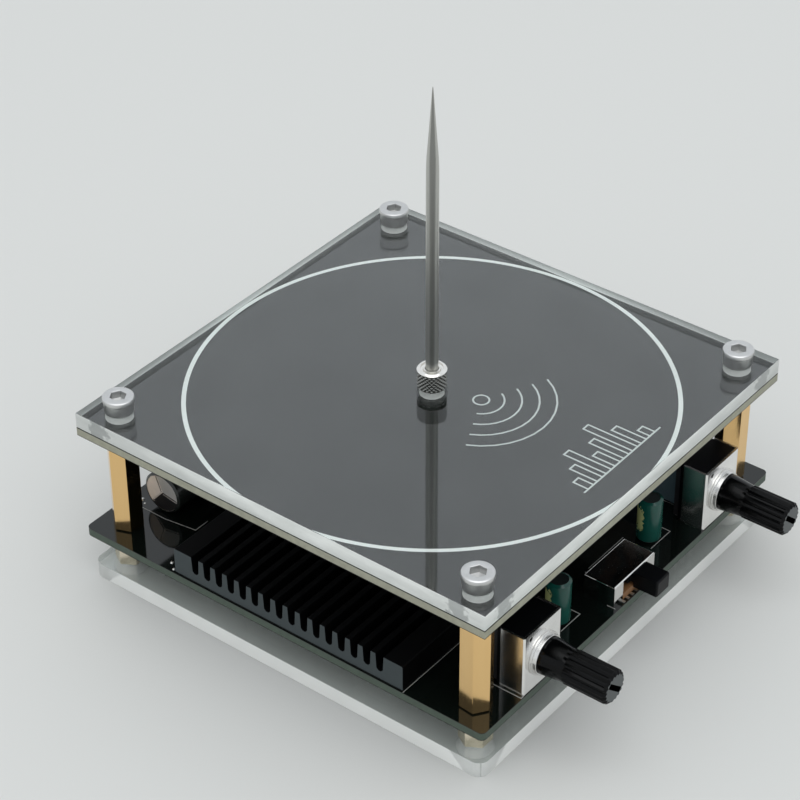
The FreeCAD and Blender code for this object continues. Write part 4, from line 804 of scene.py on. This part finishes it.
def cut_edge_painted_shade():
    """Frosted acrylic edge, with painted shade where it is seen from inside and where a
    screw stands behind it.
    """
    material = finish("cover_cut_edge", (0.93, 0.96, 0.94), 0.32, shade=(0.58, 0.61, 0.59),
                      scale=140.0, stretch=(1.0, 1.0, 4.0))
    tree = material.node_tree
    place = tree.nodes.new("ShaderNodeTexCoord").outputs["Object"]
    size = tree.nodes.new("ShaderNodeVectorMath")
    size.operation = "ABSOLUTE"
    tree.links.new(place, size.inputs[0])
    spot = tree.nodes.new("ShaderNodeSeparateXYZ")
    tree.links.new(size.outputs[0], spot.inputs[0])
    nearer = maths(tree, "MINIMUM", spot.outputs["X"], spot.outputs["Y"])
    off_screw = maths(tree, "ABSOLUTE", maths(tree, "SUBTRACT", nearer, SCREW_AT / 1000))
    patch = tree.nodes.new("ShaderNodeTexNoise")
    patch.inputs["Scale"].default_value = 700.0
    tree.links.new(place, patch.inputs["Vector"])
    reach = maths(tree, "MULTIPLY_ADD", patch.outputs["Fac"], SCREW_SHADE_REACH, SCREW_SHADE_SHIFT)
    inside = maths(tree, "SUBTRACT", reach, off_screw)
    screw_shade = tree.nodes.new("ShaderNodeClamp")
    tree.links.new(maths(tree, "MULTIPLY", inside, SCREW_SHADE_SHARP), screw_shade.inputs["Value"])
    darker = maths(tree, "MULTIPLY", screw_shade.outputs[0], SCREW_SHADE_DARK)
    shader, group = tree.nodes["Principled BSDF"], tree.nodes["variation"]
    # Painted shade: the edge is darkened where a screw stands behind it.
    outside = mixed(tree, darker, group.outputs["Color"], (0.20, 0.22, 0.22))
    # Painted shade: the edge seen from inside is painted a darker grey.
    behind = tree.nodes.new("ShaderNodeNewGeometry").outputs["Backfacing"]
    tree.links.new(mixed(tree, behind, outside, (0.80, 0.84, 0.83)), shader.inputs["Base Color"])
    let_light_through(material, FROST_PASSES)
    return material


def cut_sheet(name, outlines, low, high, bevel):
    """A flat sheet cut to closed outlines, the first its edge and the others its holes."""
    curve = bpy.data.curves.new(name, "CURVE")
    curve.dimensions = "2D"
    curve.fill_mode = "BOTH"
    curve.extrude = ((high - low) / 2 - bevel) / 1000
    curve.bevel_depth = bevel / 1000
    curve.bevel_resolution = 1
    curve.offset = -bevel / 1000
    for outline in outlines:
        spline = curve.splines.new("POLY")
        spline.points.add(len(outline) - 1)
        for at, (x, y) in zip(spline.points, outline):
            at.co = (x / 1000, y / 1000, 0, 1)
        spline.use_cyclic_u = True
    drawn = bpy.data.objects.new(name, curve)
    bpy.context.scene.collection.objects.link(drawn)
    evaluated = drawn.evaluated_get(bpy.context.evaluated_depsgraph_get())
    mesh = bpy.data.meshes.new_from_object(evaluated)
    bpy.data.objects.remove(drawn)
    work = bmesh.new()
    work.from_mesh(mesh)
    bmesh.ops.remove_doubles(work, verts=work.verts, dist=1e-7)
    bmesh.ops.recalc_face_normals(work, faces=work.faces)
    bmesh.ops.translate(work, verts=work.verts, vec=(0, 0, (low + high) / 2000))
    return work


def cover_face(normal, place):
    """The finish of a face of the cover plate."""
    if abs(normal.z) > ALONG:
        return CLEAR
    return EDGE if is_outer(place) else DRILLED


cover_outline = [(-PLATE_HALF, -PLATE_HALF), (PLATE_HALF, -PLATE_HALF), (PLATE_HALF, PLATE_HALF),
                 (-PLATE_HALF, PLATE_HALF)]
holes = [ring_points(SCREW_HOLE, SCREW_AT * side_x, SCREW_AT * side_y)
         for side_x in (-1, 1) for side_y in (-1, 1)]
holes.append(ring_points(MIDDLE_HOLE))
cover_work = cut_sheet("cover", [cover_outline, *holes], COIL_TOP + COVER_LIFT, COVER_TOP,
                       COVER_BEVEL)
for face in cover_work.faces:
    face.material_index = cover_face(face.normal, face.calc_center_median())
cover = new_piece("cover_sheet", cover_work, (acrylic, cut_edge_painted_shade(), drilled_edge))
stand_for(cover, "cover_plate")


# ---------------------------------------------------------------- cover screws
# Socket head cap screws of polished stainless steel, turned, with a raised rim and the
# hexagon pressed into a slightly domed head.

SOCKET_FLATS = 2.5
SOCKET_FLOOR = 36.8
steel = finish("polished_stainless", (0.68, 0.68, 0.67), 0.33, 1.0, spread=0.12, scale=800.0,
               bump=0.08)


def socket_rule(extra):
    """The rule of a hexagon socket's outline, this much wider than its flats."""
    def reach(angle):
        off_flat = (angle + math.pi / 6) % (math.pi / 3) - math.pi / 6
        return (SOCKET_FLATS + extra) / 2 / math.cos(off_flat)
    return reach


def hand_out(tree, instances):
    """End a Geometry Nodes tree: make its copies real and give them their finish."""
    real = tree.nodes.new("GeometryNodeRealizeInstances")
    tree.links.new(instances, real.inputs[0])
    coated = tree.nodes.new("GeometryNodeSetMaterial")
    tree.links.new(real.outputs[0], coated.inputs["Geometry"])
    tree.links.new(tree.nodes.new("NodeGroupInput").outputs["Finish"], coated.inputs["Material"])
    tree.links.new(coated.outputs[0], tree.nodes.new("NodeGroupOutput").inputs[0])


def make_corner_tree():
    """Geometry Nodes: repeat one piece at the four corners of a square."""
    tree = bpy.data.node_groups.new("at_four_corners", "GeometryNodeTree")
    add_socket(tree, "Geometry", "Geometry", None)
    add_socket(tree, "Pitch", "Float", 0.05)
    add_socket(tree, "Finish", "Material", None)
    add_socket(tree, "Geometry", "Geometry", None, "OUTPUT")
    new, link = tree.nodes.new, tree.links.new
    given = new("NodeGroupInput").outputs
    square = new("GeometryNodeMeshGrid")
    square.inputs["Vertices X"].default_value = 2
    square.inputs["Vertices Y"].default_value = 2
    link(given["Pitch"], square.inputs["Size X"])
    link(given["Pitch"], square.inputs["Size Y"])
    placed = new("GeometryNodeInstanceOnPoints")
    link(square.outputs["Mesh"], placed.inputs["Points"])
    link(given["Geometry"], placed.inputs["Instance"])
    hand_out(tree, placed.outputs[0])
    return tree


def grow(piece, tree, **values):
    """Run a Geometry Nodes tree on a piece and keep its result as a plain mesh."""
    modifier = piece.modifiers.new(tree.name, "NODES")
    modifier.node_group = tree
    for item in tree.interface.items_tree:
        if item.in_out == "INPUT" and item.name in values:
            modifier[item.identifier] = values[item.name]
    settle(piece)


cap_screw_profile = [
    (0, 25.2), (1.3, 25.2), (1.5, 25.5), (1.5, COVER_TOP - 0.02), (2.42, COVER_TOP - 0.02),
    (2.57, COVER_TOP + 0.12), (2.60, 37.15), (2.75, 37.35), (2.75, 37.86), (2.68, 38.04),
    (2.50, 38.16), (2.3, 38.19), (socket_rule(0.35), 38.2), (socket_rule(0.12), 38.14),
    (socket_rule(0), 38.0), (socket_rule(0), SOCKET_FLOOR), (0, SOCKET_FLOOR - 0.25),
]
cap_screws = loose_piece("cap_screws", *turned(cap_screw_profile))
grow(cap_screws, make_corner_tree(), Pitch=SCREW_AT * 2 / 1000, Finish=steel)
stand_for(cap_screws, "cover_screws")


# ---------------------------------------------------------------- needle, collar and terminal
# A ground steel needle stands in a tinned brass bush in the board. A small knurled collar
# clamps it on the cover.

needle_steel = finish("needle_steel", (0.55, 0.55, 0.52), 0.36, 1.0, shade=(0.49, 0.49, 0.46),
                      spread=0.12, scale=900.0, stretch=(1.0, 1.0, 0.15), bump=0.12)


def paint_facing_reflection(material, dark, near, far):
    """Paint a dark reflection into a turned metal's colour where it faces the viewer, standing
    in for the dark side of a room seen in it.
    """
    tree = material.node_tree
    shader = tree.nodes["Principled BSDF"]
    color = shader.inputs["Base Color"].links[0].from_socket
    facing = tree.nodes.new("ShaderNodeLayerWeight")
    facing.inputs["Blend"].default_value = 0.5
    reach = tree.nodes.new("ShaderNodeMapRange")
    reach.interpolation_type = "SMOOTHSTEP"
    tree.links.new(facing.outputs["Facing"], reach.inputs["Value"])
    reach.inputs["From Min"].default_value = near
    reach.inputs["From Max"].default_value = far
    reach.inputs["To Min"].default_value = dark
    reach.inputs["To Max"].default_value = 1.0
    faded = tree.nodes.new("ShaderNodeVectorMath")
    faded.operation = "SCALE"
    tree.links.new(color, faded.inputs[0])
    tree.links.new(reach.outputs["Result"], faded.inputs["Scale"])
    tree.links.new(faded.outputs[0], shader.inputs["Base Color"])


# Painted reflection: the needle's middle, where it faces the viewer, is painted darker.
paint_facing_reflection(needle_steel, dark=0.5, near=0.17, far=0.31)
needle_profile = [
    (0, 32.7), (0.95, 32.7), (1.1, 32.85), (1.1, 76.0), (1.08, 78.4), (1.0, 80.6), (0.55, 86.6),
    (0.2, 91.6), (0.08, 93.1), (0.03, 93.38), (0, 93.4),
]
stand_for(loose_piece("needle_ground", *turned(needle_profile, 64), needle_steel), "needle")

# The band that the teeth cover, where the ring is painted dark as the shade between the teeth.
GRIP_LOW = 0.0353
GRIP_HIGH = 0.0386
GRIP_FROM = 0.0023
collar_metal = finish("collar_metal", (0.92, 0.90, 0.86), 0.2, 1.0, scale=900.0, bump=0.05)
groove_painted_shade = finish("knurl_grooves_painted_shade", (0.10, 0.10, 0.09), 0.4, 1.0, scale=900.0)
collar_profile = [
    (1.16, COVER_TOP), (2.35, COVER_TOP), (2.42, 35.3), (2.42, 38.62), (2.63, 38.70),
    (2.63, 38.80), (2.36, 39.07), (2.25, 39.1), (2.0, 39.1), (1.9, 38.8), (1.6, 38.75),
    (1.5, 38.98), (1.25, 39.0), (1.16, 38.9),
]
collar = loose_piece("collar_ring", *turned(collar_profile, closed=True), collar_metal,
                     groove_painted_shade)
# Painted shade: faces in the band under the teeth take the dark groove colour.
for face in collar.data.polygons:
    in_grip = GRIP_LOW < face.center.z < GRIP_HIGH
    face.material_index = int(in_grip and face.center.xy.length > GRIP_FROM)
stand_for(collar, "needle_collar")
dress("needle_terminal", tin)

TOOTH_TIP = 0.00004
TOOTH_WIDE = 0.82
# Painted shade: the teeth are the collar's metal, painted darker for the shade between them.
knurl_teeth_painted_shade = finish("knurl_teeth_painted_shade", (0.25, 0.25, 0.235), 0.25, 1.0, scale=900.0, bump=0.05)


def make_knurl_tree():
    """Geometry Nodes: rows of small pyramids round a cylinder, every second row half a step on."""
    tree = bpy.data.node_groups.new("diamond_knurl", "GeometryNodeTree")
    add_socket(tree, "Geometry", "Geometry", None)
    add_socket(tree, "Radius", "Float", 0.0025)
    add_socket(tree, "Bottom", "Float", 0.036)
    add_socket(tree, "Step", "Float", 0.0005)
    add_socket(tree, "Tooth", "Float", 0.0003)
    add_socket(tree, "Across", "Int", 24)
    add_socket(tree, "Rows", "Int", 5)
    add_socket(tree, "Finish", "Material", None)
    add_socket(tree, "Geometry", "Geometry", None, "OUTPUT")
    new, link = tree.nodes.new, tree.links.new
    given = new("NodeGroupInput").outputs
    line = new("GeometryNodeMeshLine")
    link(maths(tree, "MULTIPLY", given["Across"], given["Rows"]), line.inputs["Count"])
    index = new("GeometryNodeInputIndex").outputs[0]
    row = maths(tree, "FLOOR", maths(tree, "DIVIDE", index, given["Across"]))
    shift = maths(tree, "MULTIPLY", maths(tree, "MODULO", row, 2), 0.5)
    column = maths(tree, "ADD", maths(tree, "MODULO", index, given["Across"]), shift)
    angle = maths(tree, "MULTIPLY", maths(tree, "DIVIDE", column, given["Across"]), 2 * math.pi)
    spot = new("ShaderNodeCombineXYZ")
    link(maths(tree, "MULTIPLY", maths(tree, "COSINE", angle), given["Radius"]), spot.inputs["X"])
    link(maths(tree, "MULTIPLY", maths(tree, "SINE", angle), given["Radius"]), spot.inputs["Y"])
    link(maths(tree, "MULTIPLY_ADD", row, given["Step"], given["Bottom"]), spot.inputs["Z"])
    wrapped = new("GeometryNodeSetPosition")
    link(line.outputs["Mesh"], wrapped.inputs["Geometry"])
    link(spot.outputs[0], wrapped.inputs["Position"])
    tooth = new("GeometryNodeMeshCone")
    tooth.inputs["Vertices"].default_value = 4
    tooth.inputs["Radius Top"].default_value = TOOTH_TIP
    link(maths(tree, "MULTIPLY", given["Step"], TOOTH_WIDE), tooth.inputs["Radius Bottom"])
    link(given["Tooth"], tooth.inputs["Depth"])
    turn = new("ShaderNodeCombineXYZ")
    turn.inputs["Y"].default_value = math.pi / 2
    link(angle, turn.inputs["Z"])
    placed = new("GeometryNodeInstanceOnPoints")
    link(wrapped.outputs[0], placed.inputs["Points"])
    link(tooth.outputs["Mesh"], placed.inputs["Instance"])
    link(turn.outputs[0], placed.inputs["Rotation"])
    hand_out(tree, placed.outputs[0])
    return tree


# The tree draws all the teeth, so what it grows on is a bare triangle that it drops.
knurl = loose_piece("collar_knurl", [(0, 0, 36), (0.1, 0, 36), (0, 0.1, 36)], [(0, 1, 2)])
grow(knurl, make_knurl_tree(), Radius=0.00240, Bottom=0.03562, Step=0.00038, Tooth=0.00028,
     Across=20, Rows=8, Finish=knurl_teeth_painted_shade)
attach(knurl, "chassis")
